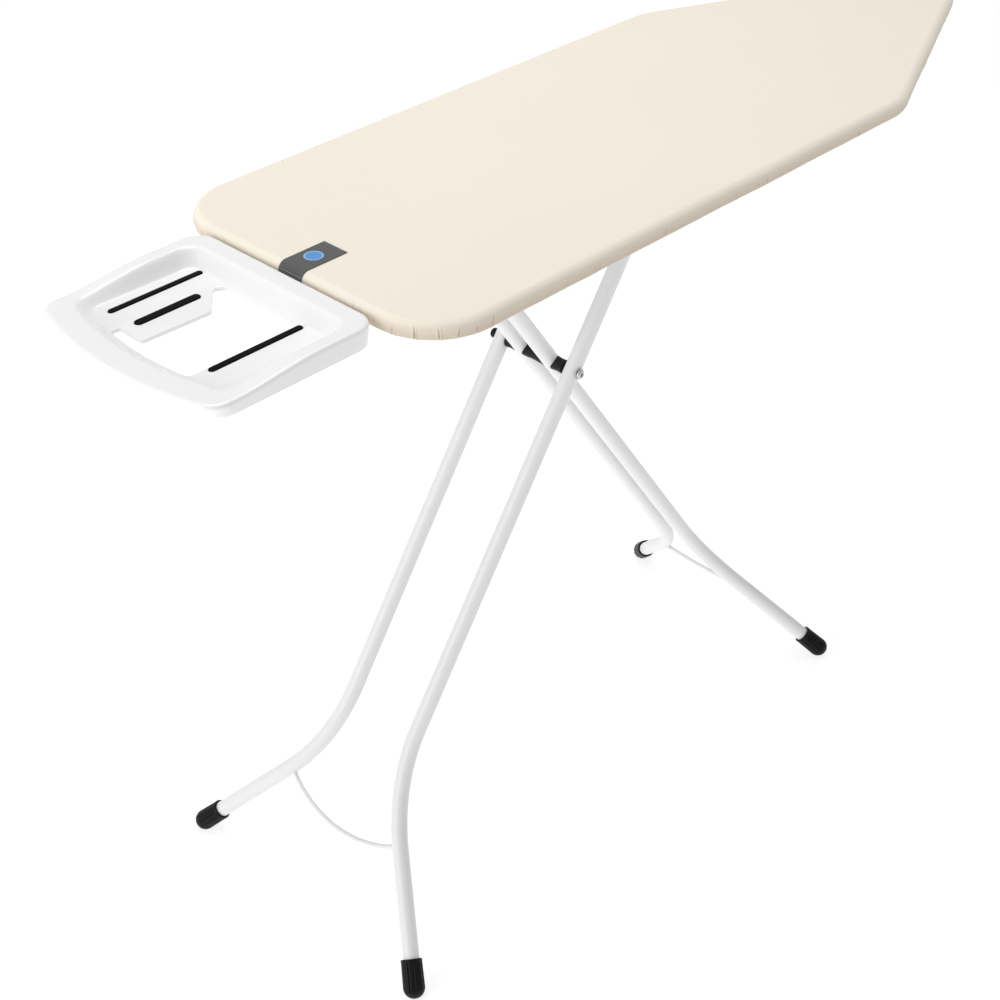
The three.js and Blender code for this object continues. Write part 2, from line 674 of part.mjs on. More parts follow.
// The bolt on which the leg frames turn, with a washer under its head and a cap over its nut.
function addPivotStack(legs) {
  const outside = OUTER_Y + TUBE_RADIUS + GAP;
  const washerEnd = -outside - WASHER_THICKNESS;
  const boltEnd = outside + 4;
  const boltSpace = BOLT_RADIUS + GAP;
  const washer = cut(rodAlongY(WASHER_RADIUS, washerEnd, -outside, 0, 0, 20), rodAlongY(boltSpace, -90, 0));
  piece("pivot_washer", washer, bareSteel, legs);
  const headStart = washerEnd - GAP;
  const bolt = join(
    rodAlongY(BOLT_RADIUS, headStart - 1, boltEnd),
    rodAlongY(BOLT_HEAD.radius, headStart - BOLT_HEAD.height, headStart, 0, 0, 6),
  );
  piece("pivot_bolt", bolt, bareSteel, legs);
  const domeHeight = 2.5;
  const capEnd = outside + 5;
  const dome = new THREE.CylinderGeometry(NUT_CAP_RADIUS - 3, NUT_CAP_RADIUS, domeHeight, 18);
  const nutCap = cut(
    join(
      rodAlongY(NUT_CAP_RADIUS, outside, capEnd, 0, 0, 18),
      dome.translate(0, capEnd + domeHeight / 2, 0),
    ),
    rodAlongY(boltSpace, 0, boltEnd + GAP),
  );
  piece("nut_cap", nutCap, blackPlastic, legs);
}

// The glides stay level in the rails and turn on the outer legs' top rod.
function addGlides(parent) {
  const halfLength = 13;
  const outline = roundedOutline([
    [-halfLength, RAIL_BOTTOM + SHEET_STEEL + 0.5, 5], [halfLength, RAIL_BOTTOM + SHEET_STEEL + 0.5, 5],
    [halfLength, UNDERSIDE - SHEET_STEEL - 0.5, 5], [-halfLength, UNDERSIDE - SHEET_STEEL - 0.5, 5],
  ], 3).map((point) => [SLIDE_X + point.x, point.y]);
  const rodHole = rodAlongY(SLIDE_ROD_RADIUS + GAP, 0, 100, SLIDE_X, HINGE_Z);
  const near = RAIL_OUTSIDE_Y - RAIL_WIDTH + 1;
  const far = RAIL_OUTSIDE_Y - SHEET_STEEL - 0.5;
  const glide = cut(plateAlongY(outline, near, far), rodHole);
  piece("glide_left", glide, blackPlastic, parent);
  piece("glide_right", mirrored(glide), blackPlastic, parent);
}

// ---------------------------------------------------------------------------------------------- iron rest

// Height of the rim's top: level beside the board, then easing down to the front.
function rimTop(x) {
  const t = THREE.MathUtils.smoothstep(-x, -REST_DROP_FROM, -REST_DROP_TO);
  return REST_RIM_TOP - REST_RIM_DROP * t;
}

// One outline of the rest, moved in by its own amounts at the board end, the front and the sides.
function restOutline(inBack, inFront, inSide, radius, bow = REST_BOW) {
  const back = REST_BACK - inBack;
  const front = REST_FRONT + inFront;
  const half = REST_HALF_WIDTH - inSide;
  const stationsX = [0, 1, 2, 3].map((k) => REST_DROP_FROM + 2 - k * 26);
  const bowPoints = [0.75, 0.5, 0.25, 0, -0.25, -0.5, -0.75].map((t) => [front + bow * t * t, half * t, 0]);
  return roundedOutline([
    [back, -half, radius],
    [back, half, radius],
    ...stationsX.map((x) => [x, half, 0]),
    [front + bow, half, radius],
    ...bowPoints,
    [front + bow, -half, radius],
    ...stationsX.reverse().map((x) => [x, -half, 0]),
  ], REST_CORNER_STEPS);
}

function restShell() {
  const { back: rimBack, front: rimFront, side: rimSide, slope } = REST_RIM;
  const t = REST_WALL;
  const onRim = (outline, below) => outline.map((p) => new THREE.Vector3(p.x, p.y, rimTop(p.x) - below));
  const outerBottom = restOutline(0, 8, 3, REST_CORNER);
  const outerTop = restOutline(0, 0, 0, REST_CORNER);
  const shoulder = restOutline(3, 3, 3, REST_CORNER - 3);
  const rimEdge = restOutline(rimBack, rimFront, rimSide, 16, REST_BOW - 4);
  const floorEdge = restOutline(rimBack + slope, rimFront + slope, rimSide + slope, 12, REST_BOW - 6);
  const below = {
    floorEdge: restOutline(rimBack + slope - t, rimFront + slope - t, rimSide + slope - t, 13, REST_BOW - 6),
    rimEdge: restOutline(rimBack - t, rimFront - t, rimSide - t, 17, REST_BOW - 4),
    top: restOutline(t, t, t, REST_CORNER - t),
    bottom: restOutline(t, 8 + t, 3 + t, REST_CORNER - t),
  };
  return loft([
    level(below.floorEdge, REST_FLOOR - t),
    onRim(below.rimEdge, t),
    onRim(below.top, t + 1),
    level(below.bottom, REST_BOTTOM),
    level(outerBottom, REST_BOTTOM),
    onRim(outerTop, 3),
    onRim(shoulder, 0),
    onRim(rimEdge, 0),
    level(floorEdge, REST_FLOOR),
  ]);
}

// The opening in the floor. A tongue of floor, which carries the middle strip, reaches into it.
function restOpening() {
  return roundedOutline([
    [-48, -67, 7], [-48, 54, 6], [-59, 61, 3], [-92, 23, 6], [-182, 26, 4], [-182, 65, 2],
    [-193, 65, 3], [-197, 30, 0], [-198, 0, 0], [-197, -30, 0], [-192, -67, 8],
  ].map(([x, y, radius]) => [WIDE_END + x, y, radius]), 3);
}

// The three strips that the iron stands on: [name, from x, to x, y, half width], x from the wide end.
const STRIPS = [
  ["rest_strip_left", -171, -45, 100, 3.8],
  ["rest_strip_middle", -166, -80, 59, 5.3],
  ["rest_strip_right", -171, -47, -73.5, 4],
];

function stripOutline(fromX, toX, y, half) {
  return roundedOutline([
    [WIDE_END + fromX, y - half, half * 0.98], [WIDE_END + toX, y - half, half * 0.98],
    [WIDE_END + toX, y + half, half * 0.98], [WIDE_END + fromX, y + half, half * 0.98],
  ], 3);
}

function addIronRest(parent) {
  const screwPlaces = [LEFT, RIGHT].flatMap((side) => SCREW_PLACES.map((x) => [WIDE_END + x, side * ARM_Y]));
  const armTop = REST_BOTTOM - 0.5;
  const armBottom = armTop - ARM_THICKNESS;
  const bosses = screwPlaces.map(([x, y]) => rodAlongZ(5, REST_BOTTOM, REST_FLOOR - 1, x, y, 12));
  const screwHoles = screwPlaces.map(([x, y]) =>
    rodAlongZ(SCREW_RADIUS + GAP, armBottom - 1, REST_FLOOR - 2, x, y, 10));
  const slots = STRIPS.map(([, fromX, toX, y, half]) =>
    prism(stripOutline(fromX - GAP, toX + GAP, y, half + GAP), REST_FLOOR - 1.6, REST_FLOOR + 1));
  const opening = prism(restOpening(), REST_BOTTOM - 5, HEIGHT);
  const shell = cut(join(restShell(), ...bosses), opening, ...slots, ...screwHoles);
  piece("iron_rest", shell, whitePlastic, parent);
  for (const [name, fromX, toX, y, half] of STRIPS) {
    const strip = prism(stripOutline(fromX, toX, y, half), REST_FLOOR - 1.3, REST_FLOOR + 1.5);
    piece(name, strip, silicone, parent);
  }
  for (const [word, side] of [["left", LEFT], ["right", RIGHT]]) {
    const bar = block([ARM_START, side * ARM_Y - ARM_HALF_WIDTH, armBottom],
      [REAR_BEAM.x + 8, side * ARM_Y + ARM_HALF_WIDTH, armTop]);
    piece(`rest_arm_${word}`, cut(bar, ...screwHoles), whitePaint, parent);
  }
  screwPlaces.forEach(([x, y], i) => {
    const headTop = armBottom - GAP;
    const head = rodAlongZ(4.5, headTop - 2.5, headTop, x, y, 14);
    const shank = rodAlongZ(SCREW_RADIUS, headTop - 1, REST_FLOOR - 3, x, y, 8);
    piece(`rest_screw_${i + 1}`, join(head, shank), bareSteel, parent);
  });
}

// ----------------------------------------------------------------------------------------------- assembly

const ironingBoard = new THREE.Group();
addPaddedTop(ironingBoard);
addUnderframe(ironingBoard);
addHeightLock(ironingBoard);
addInnerLegs(ironingBoard);
addOuterLegs(ironingBoard);
addGlides(ironingBoard);
addIronRest(ironingBoard);

export default ironingBoard;
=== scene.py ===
"""Looks of the ironing board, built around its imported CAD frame. Blender 4.5, metres, +Z up.

+X runs along the board from the iron rest to the nose. "Left" is +Y, as in the CAD's names.
"""

import json
import math
import random

import bmesh
import bpy
from mathutils import Matrix, Vector, geometry, noise


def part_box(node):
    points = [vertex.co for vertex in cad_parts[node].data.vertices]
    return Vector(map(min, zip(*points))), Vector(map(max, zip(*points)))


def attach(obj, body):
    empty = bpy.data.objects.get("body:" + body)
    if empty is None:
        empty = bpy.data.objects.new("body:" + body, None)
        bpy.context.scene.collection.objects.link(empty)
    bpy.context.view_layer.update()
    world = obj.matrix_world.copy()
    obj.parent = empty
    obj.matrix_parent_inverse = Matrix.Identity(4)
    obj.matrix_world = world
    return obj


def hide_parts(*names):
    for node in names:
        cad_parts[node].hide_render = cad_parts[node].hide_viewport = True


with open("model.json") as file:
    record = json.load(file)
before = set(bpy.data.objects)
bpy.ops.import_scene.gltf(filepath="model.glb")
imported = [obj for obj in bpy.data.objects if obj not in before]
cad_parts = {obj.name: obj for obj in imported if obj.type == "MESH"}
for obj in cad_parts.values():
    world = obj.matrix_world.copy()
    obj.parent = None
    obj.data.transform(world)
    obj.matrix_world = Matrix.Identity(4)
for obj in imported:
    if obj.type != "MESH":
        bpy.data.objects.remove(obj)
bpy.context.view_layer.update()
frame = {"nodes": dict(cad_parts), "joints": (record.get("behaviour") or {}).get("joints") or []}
NODES = frame["nodes"]
MM = 0.001
LEFT, RIGHT = 1, -1
SIDES = (("left", LEFT), ("right", RIGHT))
X, Y, Z = Vector((1, 0, 0)), Vector((0, 1, 0)), Vector((0, 0, 1))

# Driving dimensions, from the frame.
cover_low, cover_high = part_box("fabric_cover")
HEIGHT = cover_high.z
WIDE_END = cover_low.x
NOSE = cover_high.x
HALF_WIDTH = cover_high.y
JOINTS = {joint["name"]: joint for joint in frame["joints"]}
HINGE = Vector(JOINTS["leg_fold"]["pos_m"])
PIVOT = Vector(JOINTS["scissor_pivot"]["pos_m"])
LEAN = math.atan2(PIVOT.x - HINGE.x, HINGE.z - PIVOT.z)
UPPER_ARM = (HINGE - PIVOT).length

# Shape of the top's outline.
TAPER_START = WIDE_END + 838 * MM
TAPER_SLOPE = 0.45
TAPER_SLANT = math.hypot(1, TAPER_SLOPE)
TAPER_TIP = TAPER_START + HALF_WIDTH / TAPER_SLOPE
END_RADIUS = 82 * MM
TAPER_RADIUS = 90 * MM
NOSE_RADIUS = TAPER_SLOPE * (TAPER_TIP - NOSE) / (TAPER_SLANT - TAPER_SLOPE)

# The cover's edge: rounded, then down the skirt, then in under the rim to a rolled hem.
EDGE_RADIUS = 10.5 * MM
SKIRT_BOTTOM = HEIGHT - 21 * MM
SKIRT_LEAN = 0.5 * MM
SKIRT_ROUND = 2.5 * MM
HEM_REACH = 16 * MM
HEM_BEAD = 1.7 * MM
RIM_ROOM = 1.75 * MM

# Leg frames: tube, place of each pair, and the bend that spreads the feet.
TUBE = 11 * MM
TUBE_WALL = 1.2 * MM
BEND_START = 515 * MM
BEND_RADIUS = 255 * MM
CAP_RADIUS = 14.5 * MM
CAP_LENGTH = 36 * MM
BRACE_RADIUS = 3 * MM
SPACER_RADIUS = 9.6 * MM
WELD = 0.9 * MM
FOOT_ALONG = (PIVOT.z - CAP_RADIUS) / math.cos(LEAN)
INNER = {"y": 25.5 * MM, "flare": math.radians(37.5), "body": "inner_legs", "lean": -LEAN}
OUTER = {"y": 62 * MM, "flare": math.radians(36.5), "body": "outer_legs", "lean": LEAN}
OUTSIDE = OUTER["y"] + TUBE

# Iron rest.
REST_LOW, REST_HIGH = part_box("iron_rest")
REST_BACK, REST_FRONT, REST_HALF = REST_HIGH.x, REST_LOW.x, REST_HIGH.y
REST_BOTTOM = REST_LOW.z
REST_RIM_DROP = 8.5 * MM
REST_FLOOR = HEIGHT - 24 * MM
REST_WALL = 2.5 * MM
REST_BOW = 25 * MM
REST_CORNER = 27 * MM
REST_SCREWS = [f"rest_screw_{number}" for number in range(1, 5)]
RIM_BACK, RIM_FRONT, RIM_SIDE = 27 * MM, 38 * MM, 20 * MM
RIM_SLOPE = 9 * MM
STRIPS = (  # name, from x, to x, y, half width in mm; x from the wide end
    ("rest_strip_left", -171, -45, 100, 3.8),
    ("rest_strip_middle", -166, -80, 59, 5.3),
    ("rest_strip_right", -171, -47, -73.5, 4.0),
)


# ---------------------------------------------------------------------------------------- camera and light

def add_camera():
    """Standing off the near corner of the iron rest and looking down at the scissor's pivot."""
    yaw, pitch, roll = (math.radians(a) for a in (44.88, -35.53, -0.69))
    forward = Vector((math.cos(pitch) * math.cos(yaw), math.cos(pitch) * math.sin(yaw), math.sin(pitch)))
    level_right = forward.cross(Z).normalized()
    level_up = level_right.cross(forward)
    right = math.cos(roll) * level_right + math.sin(roll) * level_up
    up = -math.sin(roll) * level_right + math.cos(roll) * level_up
    data = bpy.data.cameras.new("camera")
    data.sensor_width = 36
    data.lens = 65.68
    data.clip_start, data.clip_end = 0.05, 50
    camera = bpy.data.objects.new("camera", data)
    bpy.context.scene.collection.objects.link(camera)
    rotation = Matrix((right, up, -forward)).transposed().to_4x4()
    camera.matrix_world = Matrix.Translation((-1.5845, -1.4024, 1.9035)) @ rotation
    bpy.context.scene.camera = camera


def add_light(name, place, target, size, power):
    data = bpy.data.lights.new(name, "AREA")
    data.shape = "DISK"
    data.size = size
    data.energy = power
    light = bpy.data.objects.new(name, data)
    bpy.context.scene.collection.objects.link(light)
    light.location = place
    light.rotation_euler = (Vector(target) - Vector(place)).to_track_quat("-Z", "Y").to_euler()


def add_studio():
    scene = bpy.context.scene
    scene.view_settings.view_transform = "Standard"
    world = bpy.data.worlds.new("studio")
    world.use_nodes = True
    world.node_tree.nodes["Background"].inputs["Color"].default_value = (1, 1, 1, 1)
    world.node_tree.nodes["Background"].inputs["Strength"].default_value = 0.43
    scene.world = world
    add_light("top_light", (0.1, 0.5, 3.6), (0, 0, 0.9), 2.4, 46)
    add_light("side_light", (-3.4, 0.4, 1.6), (-0.2, 0, 0.6), 2.2, 38)
    reach = 12
    corners = [(-reach, -reach, 0), (reach, -reach, 0), (reach, reach, 0), (-reach, reach, 0)]
    mesh = bpy.data.meshes.new("studio_floor")
    mesh.from_pydata(corners, [], [(0, 1, 2, 3)])
    mesh.materials.append(floor_white())
    floor = bpy.data.objects.new("studio_floor", mesh)
    scene.collection.objects.link(floor)


# ------------------------------------------------------------------------------------------------ materials

def new_material(name, color, roughness, **sockets):
    material = bpy.data.materials.new(name)
    material.use_nodes = True
    tree = material.node_tree
    shader = tree.nodes["Principled BSDF"]
    shader.inputs["Base Color"].default_value = (*color, 1)
    shader.inputs["Roughness"].default_value = roughness
    for label, value in sockets.items():
        shader.inputs[label.replace("_", " ")].default_value = value
    return material, tree, shader


def add_node(tree, kind, inputs=None, **settings):
    made = tree.nodes.new(kind)
    for label, value in settings.items():
        setattr(made, label, value)
    for label, value in (inputs or {}).items():
        if isinstance(value, bpy.types.NodeSocket):
            tree.links.new(value, made.inputs[label])
        else:
            made.inputs[label].default_value = value
    return made


def place(tree, scale=(1, 1, 1)):
    """The point being shaded, in the piece's own metres, stretched by scale."""
    coords = add_node(tree, "ShaderNodeTexCoord").outputs["Object"]
    return add_node(tree, "ShaderNodeMapping", {"Vector": coords, "Scale": scale}).outputs["Vector"]


def height_value(tree):
    return add_node(tree, "ShaderNodeSeparateXYZ", {"Vector": place(tree)}).outputs["Z"]


def noise_value(tree, scale, stretch=(1, 1, 1), detail=3):
    inputs = {"Vector": place(tree, stretch), "Scale": scale, "Detail": detail}
    return add_node(tree, "ShaderNodeTexNoise", inputs).outputs["Fac"]


def maths(tree, operation, a, b=0.0):
    return add_node(tree, "ShaderNodeMath", {0: a, 1: b}, operation=operation).outputs[0]


def ramp(tree, value, low, high):
    """value from 0 to 1 mapped onto low to high."""
    return add_node(tree, "ShaderNodeMapRange", {"Value": value, "To Min": low, "To Max": high}).outputs[0]


def mixed(tree, value, first, second):
    """A colour that goes from first to second as value goes from 0 to 1."""
    inputs = {"Factor": value, "A": first, "B": second}
    return add_node(tree, "ShaderNodeMix", inputs, data_type="RGBA").outputs["Result"]


def tint(tree, shader, value, dark, light):
    color = mixed(tree, value, (*dark, 1), (*light, 1))
    tree.links.new(color, shader.inputs["Base Color"])
    return color


def shade_noise(tree, shader, color, scale, amount):
    """The colour, a little lighter and darker from place to place."""
    dark = [max(0.0, c - amount) for c in color]
    light = [min(1.0, c + amount) for c in color]
    tint(tree, shader, noise_value(tree, scale), dark, light)


def vary_roughness(tree, shader, value, low, high):
    tree.links.new(ramp(tree, value, low, high), shader.inputs["Roughness"])


def bump(tree, shader, height, distance, strength=1.0):
    made = add_node(tree, "ShaderNodeBump", {"Height": height, "Distance": distance, "Strength": strength})
    tree.links.new(made.outputs["Normal"], shader.inputs["Normal"])


def threads(tree, pitch, direction):
    """Ridges across one direction, a thread's pitch apart, from 0 to 1."""
    wave_period = 2 * math.pi / 20  # of Blender's wave texture at scale 1
    made = add_node(tree, "ShaderNodeTexWave", {
        "Vector": place(tree), "Scale": wave_period / pitch, "Distortion": 0.6, "Detail": 1.0,
        "Detail Scale": 0.35,
    }, bands_direction=direction)
    return made.outputs["Fac"]


def weave(tree, pitch):
    """Crossing threads. The threads that run round an axis fade out on faces that look along it."""
    normal = add_node(tree, "ShaderNodeTexCoord").outputs["Normal"]
    facing = add_node(tree, "ShaderNodeSeparateXYZ", {"Vector": normal})
    total = 0.0
    for axis in "XYZ":
        square = maths(tree, "MULTIPLY", facing.outputs[axis], facing.outputs[axis])
        share = maths(tree, "SUBTRACT", 1.0, square)
        ridges = maths(tree, "MULTIPLY", threads(tree, pitch, axis), share)
        total = maths(tree, "ADD", total, ridges)
    return maths(tree, "MULTIPLY", total, 0.5)


def floor_white():
    """A pale floor that lights the object from below, and is clear when it is looked at from underneath."""
    pale = (0.34, 0.34, 0.34)
    material, tree, shader = new_material("floor_white", pale, 0.9, Emission_Strength=0.8)
    shader.inputs["Emission Color"].default_value = (1, 1, 1, 1)
    shade_noise(tree, shader, pale, 3, 0.01)
    underneath = add_node(tree, "ShaderNodeNewGeometry").outputs["Backfacing"]
    clear = add_node(tree, "ShaderNodeBsdfTransparent").outputs[0]
    either = add_node(tree, "ShaderNodeMixShader", {0: underneath, 1: shader.outputs[0], 2: clear})
    tree.links.new(either.outputs[0], tree.nodes["Material Output"].inputs["Surface"])
    return material


def cover_cotton():
    """Ecru cotton: a plain weave with slubs, faintly uneven in tone, with painted shade that makes the skirt a
    deeper ecru.
    """
    ecru = (0.905, 0.838, 0.718)
    material, tree, shader = new_material("cover_cotton", ecru, 0.88, Sheen_Weight=0.18, Sheen_Roughness=0.5)
    slubs = noise_value(tree, 90, (1, 14, 14), 2)
    cloth = weave(tree, 0.85 * MM)
    cloudy = noise_value(tree, 5, detail=4)
    shade = maths(tree, "ADD", maths(tree, "MULTIPLY", cloudy, 0.5), maths(tree, "MULTIPLY", slubs, 0.25))
    shade = maths(tree, "ADD", shade, maths(tree, "MULTIPLY", cloth, 0.25))
    even = tint(tree, shader, shade, (0.880, 0.808, 0.682), (0.925, 0.865, 0.752))
    # Painted shade: from 4 mm to 15 mm below the top, the colour turns to a deeper ecru so that the skirt looks
    # shaded.
    skirt = add_node(tree, "ShaderNodeMapRange", {
        "Value": height_value(tree), "From Min": HEIGHT - 4 * MM, "From Max": HEIGHT - 15 * MM, "To Max": 1.0,
    }).outputs[0]
    # Painted shade: the deeper ecru that the skirt is mixed towards.
    tree.links.new(mixed(tree, skirt, even, (0.72, 0.625, 0.50, 1)), shader.inputs["Base Color"])
    vary_roughness(tree, shader, cloth, 0.92, 0.82)
    bump(tree, shader, maths(tree, "ADD", cloth, maths(tree, "MULTIPLY", slubs, 0.5)), 0.10 * MM, 0.6)
    return material


def felt_pad():
    material, tree, shader = new_material("felt_pad", (0.72, 0.70, 0.65), 0.95, Sheen_Weight=0.3)
    tint(tree, shader, noise_value(tree, 420, detail=6), (0.60, 0.58, 0.53), (0.82, 0.80, 0.75))
    bump(tree, shader, noise_value(tree, 900, detail=5), 0.4 * MM)
    return material


def powder_coat():
    """White powder coat, with its faint orange peel."""
    white = (0.885, 0.885, 0.89)
    material, tree, shader = new_material("powder_coat", white, 0.34)
    shade_noise(tree, shader, white, 30, 0.012)
    vary_roughness(tree, shader, noise_value(tree, 60), 0.28, 0.42)
    bump(tree, shader, noise_value(tree, 650, detail=2), 0.03 * MM, 0.5)
    return material


def zinc_steel():
    material, tree, shader = new_material("zinc_steel", (0.62, 0.63, 0.65), 0.3, Metallic=1.0)
    streaks = noise_value(tree, 300, (8, 1, 8), 3)
    tint(tree, shader, streaks, (0.50, 0.51, 0.53), (0.72, 0.73, 0.75))
    vary_roughness(tree, shader, streaks, 0.22, 0.42)
    bump(tree, shader, streaks, 0.02 * MM, 0.5)
    return material


def moulded_black(name, roughness, grain, gloss):
    """Black plastic or rubber with a fine moulded grain."""
    material, tree, shader = new_material(name, (0.008, 0.008, 0.009), roughness, Specular_IOR_Level=gloss)
    tint(tree, shader, noise_value(tree, 120, detail=4), (0.003, 0.003, 0.003), (0.009, 0.009, 0.010))
    vary_roughness(tree, shader, noise_value(tree, 80), roughness - 0.08, roughness + 0.1)
    bump(tree, shader, noise_value(tree, grain, detail=2), 0.05 * MM, 0.5)
    return material


def gloss_white():
    """Glossy white moulded plastic, with slow ripples in its reflections."""
    white = (0.94, 0.94, 0.94)
    material, tree, shader = new_material("gloss_white", white, 0.16, Coat_Weight=0.25, Coat_Roughness=0.08)
    shade_noise(tree, shader, white, 14, 0.008)
    vary_roughness(tree, shader, noise_value(tree, 40), 0.13, 0.22)
    bump(tree, shader, noise_value(tree, 35, detail=1), 0.12 * MM, 0.25)
    return material


def label_cloth():
    """Dark grey woven band, with paler ribs across the part that hangs down the edge."""
    material, tree, shader = new_material("label_cloth", (0.09, 0.09, 0.095), 0.8, Sheen_Weight=0.25)
    cloth = weave(tree, 0.9 * MM)
    ribs = threads(tree, 2.6 * MM, "Z")
    hanging = maths(tree, "LESS_THAN", height_value(tree), HEIGHT - 5 * MM)
    pale = maths(tree, "MULTIPLY", hanging, maths(tree, "GREATER_THAN", ribs, 0.62))
    shade = maths(tree, "ADD", maths(tree, "MULTIPLY", cloth, 0.3), maths(tree, "MULTIPLY", pale, 0.6))
    tint(tree, shader, shade, (0.050, 0.048, 0.048), (0.24, 0.24, 0.245))
    bump(tree, shader, cloth, 0.12 * MM, 0.7)
    return material


def thread_material(name, color):
    material, tree, shader = new_material(name, color, 0.7, Sheen_Weight=0.3)
    tint(tree, shader, noise_value(tree, 900, detail=2), [c * 0.82 for c in color], color)
    bump(tree, shader, noise_value(tree, 2500, detail=1), 0.05 * MM, 0.5)
    return material


def badge_blue():
    material, tree, shader = new_material("badge_blue", (0.10, 0.33, 0.72), 0.6, Sheen_Weight=0.2)
    cloth = weave(tree, 0.7 * MM)
    tint(tree, shader, cloth, (0.035, 0.20, 0.58), (0.10, 0.36, 0.78))
    bump(tree, shader, cloth, 0.08 * MM, 0.6)
    return material


FINISHES = {  # material, and the record's slot that it stands for
    "cotton": (cover_cotton(), "cover_fabric"),
    "felt": (felt_pad(), "foam"),
    "paint": (powder_coat(), "white_paint"),
    "steel": (zinc_steel(), "bare_steel"),
    "plastic": (moulded_black("black_plastic", 0.42, 1400, 0.22), "black_plastic"),
    "rubber": (moulded_black("black_rubber", 0.42, 1000, 0.16), "cap_rubber"),
    "silicone": (moulded_black("black_silicone", 0.62, 1800, 0.05), "strip_silicone"),
    "gloss": (gloss_white(), "white_plastic"),
    "label": (label_cloth(), "label_cloth"),
    "badge": (badge_blue(), "label_cloth"),
    "badge_edge": (thread_material("pale_blue_thread", (0.30, 0.52, 0.82)), "label_cloth"),
    "thread": (thread_material("ecru_thread", (0.86, 0.79, 0.67)), "cover_fabric"),
    "grey_thread": (thread_material("grey_thread", (0.30, 0.28, 0.26)), "label_cloth"),
}


# --------------------------------------------------------------------------------------------- mesh helpers

class Build:
    """Points and faces of one piece while it is being made."""

    def __init__(self):
        self.points = []
        self.faces = []

    def ring(self, points):
        start = len(self.points)
        self.points.extend(tuple(p) for p in points)
        return list(range(start, len(self.points)))

    def bridge(self, first, second):
        count = len(first)
        for i in range(count):
            j = (i + 1) % count
            self.faces.append((first[i], first[j], second[j], second[i]))

    def skin(self, rings):
        """Rings of equal length joined one to the next. Returns the first and last ring's point numbers."""
        made = [self.ring(points) for points in rings]
        for first, second in zip(made, made[1:]):
            self.bridge(first, second)
        return made[0], made[-1]

    def loop(self, rings):
        """Rings joined one to the next, and the last to the first."""
        first, last = self.skin(rings)
        self.bridge(last, first)

    def cap(self, ring, flip=False):
        self.faces.append(tuple(reversed(ring)) if flip else tuple(ring))

    def fan(self, ring, flip=False):
        """Closes a ring with triangles that meet in its middle."""
        middle = sum((Vector(self.points[i]) for i in ring), Vector()) / len(ring)
        centre = self.ring([middle])[0]
        for i, a in enumerate(ring):
            b = ring[(i + 1) % len(ring)]
            self.faces.append((b, a, centre) if flip else (a, b, centre))

    def fill(self, outer, holes, flip=False):
        """Fills a flat outline that has holes."""
        loops = [outer, *holes]
        numbers = [i for loop in loops for i in loop]
        flat = [[Vector((*self.points[i][:2], 0)) for i in loop] for loop in loops]
        for triangle in geometry.tessellate_polygon(flat):
            a, b, c = (numbers[i] for i in triangle)
            pa, pb, pc = (Vector(self.points[i]) for i in (a, b, c))
            upward = (pb - pa).cross(pc - pa).z > 0
            self.faces.append((a, b, c) if upward != flip else (a, c, b))

    def closed_skin(self, rings):
        """A solid: rings joined, with both ends closed."""
        first, last = self.skin(rings)
        self.fan(first, flip=True)
        self.fan(last)

    def capped_skin(self, rings):
        """The same, with one flat face on each end."""
        first, last = self.skin(rings)
        self.cap(first, flip=True)
        self.cap(last)


def finish_piece(name, build, finish, body, replaces=(), sharp=35, matrix=None):
    mesh = bpy.data.meshes.new(name)
    mesh.from_pydata(build.points, [], build.faces)
    edit = bmesh.new()
    edit.from_mesh(mesh)
    bmesh.ops.remove_doubles(edit, verts=edit.verts, dist=1e-6)
    bmesh.ops.recalc_face_normals(edit, faces=edit.faces)
    edit.to_mesh(mesh)
    edit.free()
    if matrix is not None:
        mesh.transform(matrix)
    material, slot = FINISHES[finish]
    mesh.materials.append(material)
    shade_smooth(mesh, sharp)
    piece = bpy.data.objects.new(name, mesh)
    bpy.context.scene.collection.objects.link(piece)
    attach(piece, body)
    if replaces:
        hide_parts(*replaces)
    return piece


def shade_smooth(mesh, sharp):
    """Smooth, except at edges that are sharper than an angle in degrees."""
    mesh.polygons.foreach_set("use_smooth", [True] * len(mesh.polygons))
    mesh.set_sharp_from_angle(angle=math.radians(sharp))


def soften(piece, width, segments, angle):
    bevel = piece.modifiers.new("soft_edges", "BEVEL")
    bevel.width = width
    bevel.segments = segments
    bevel.limit_method = "ANGLE"
    bevel.angle_limit = math.radians(angle)


def around(count):
    """Angles spaced evenly round a full turn."""
    return [2 * math.pi * i / count for i in range(count)]


def ring_about(centre, side, up, radius, count):
    return [centre + radius * (math.cos(a) * side + math.sin(a) * up) for a in around(count)]


def circle(radius, count, z=0.0):
    return ring_about(Vector((0, 0, z)), X, Y, radius, count)


def lathe(profile, count=48):
    """Rings about Z through a profile of (radius, height) in mm."""
    return [circle(max(radius * MM, 1e-5), count, height * MM) for radius, height in profile]


def swept(centres, tangents, across, radius, count=32):
    """Rings round a line that lies in the plane square to across."""
    return [ring_about(centre, across, tangent.normalized().cross(across), radius, count)
            for centre, tangent in zip(centres, tangents)]


def stitch(build, centre, along, out, profile):
    """A short thread that lies on cloth; out points away from it. profile: (place along it, radius) in mm."""
    side = along.cross(out)
    build.closed_skin([ring_about(centre + along * (t * MM), side, out, r * MM, 6) for t, r in profile])


def smoothstep(value, low, high):
    t = min(1.0, max(0.0, (value - low) / (high - low)))
    return t * t * (3 - 2 * t)


def mix(first, second, share):
    return [a.lerp(b, share) for a, b in zip(first, second)]


def quarter(steps):
    """Pairs (sin, 1 - cos) round a quarter circle, from 0 to 1 each."""
    return [(math.sin(a), 1 - math.cos(a)) for a in (math.pi / 2 * k / steps for k in range(steps + 1))]


def direction(angle):
    return Vector((math.cos(angle), math.sin(angle)))


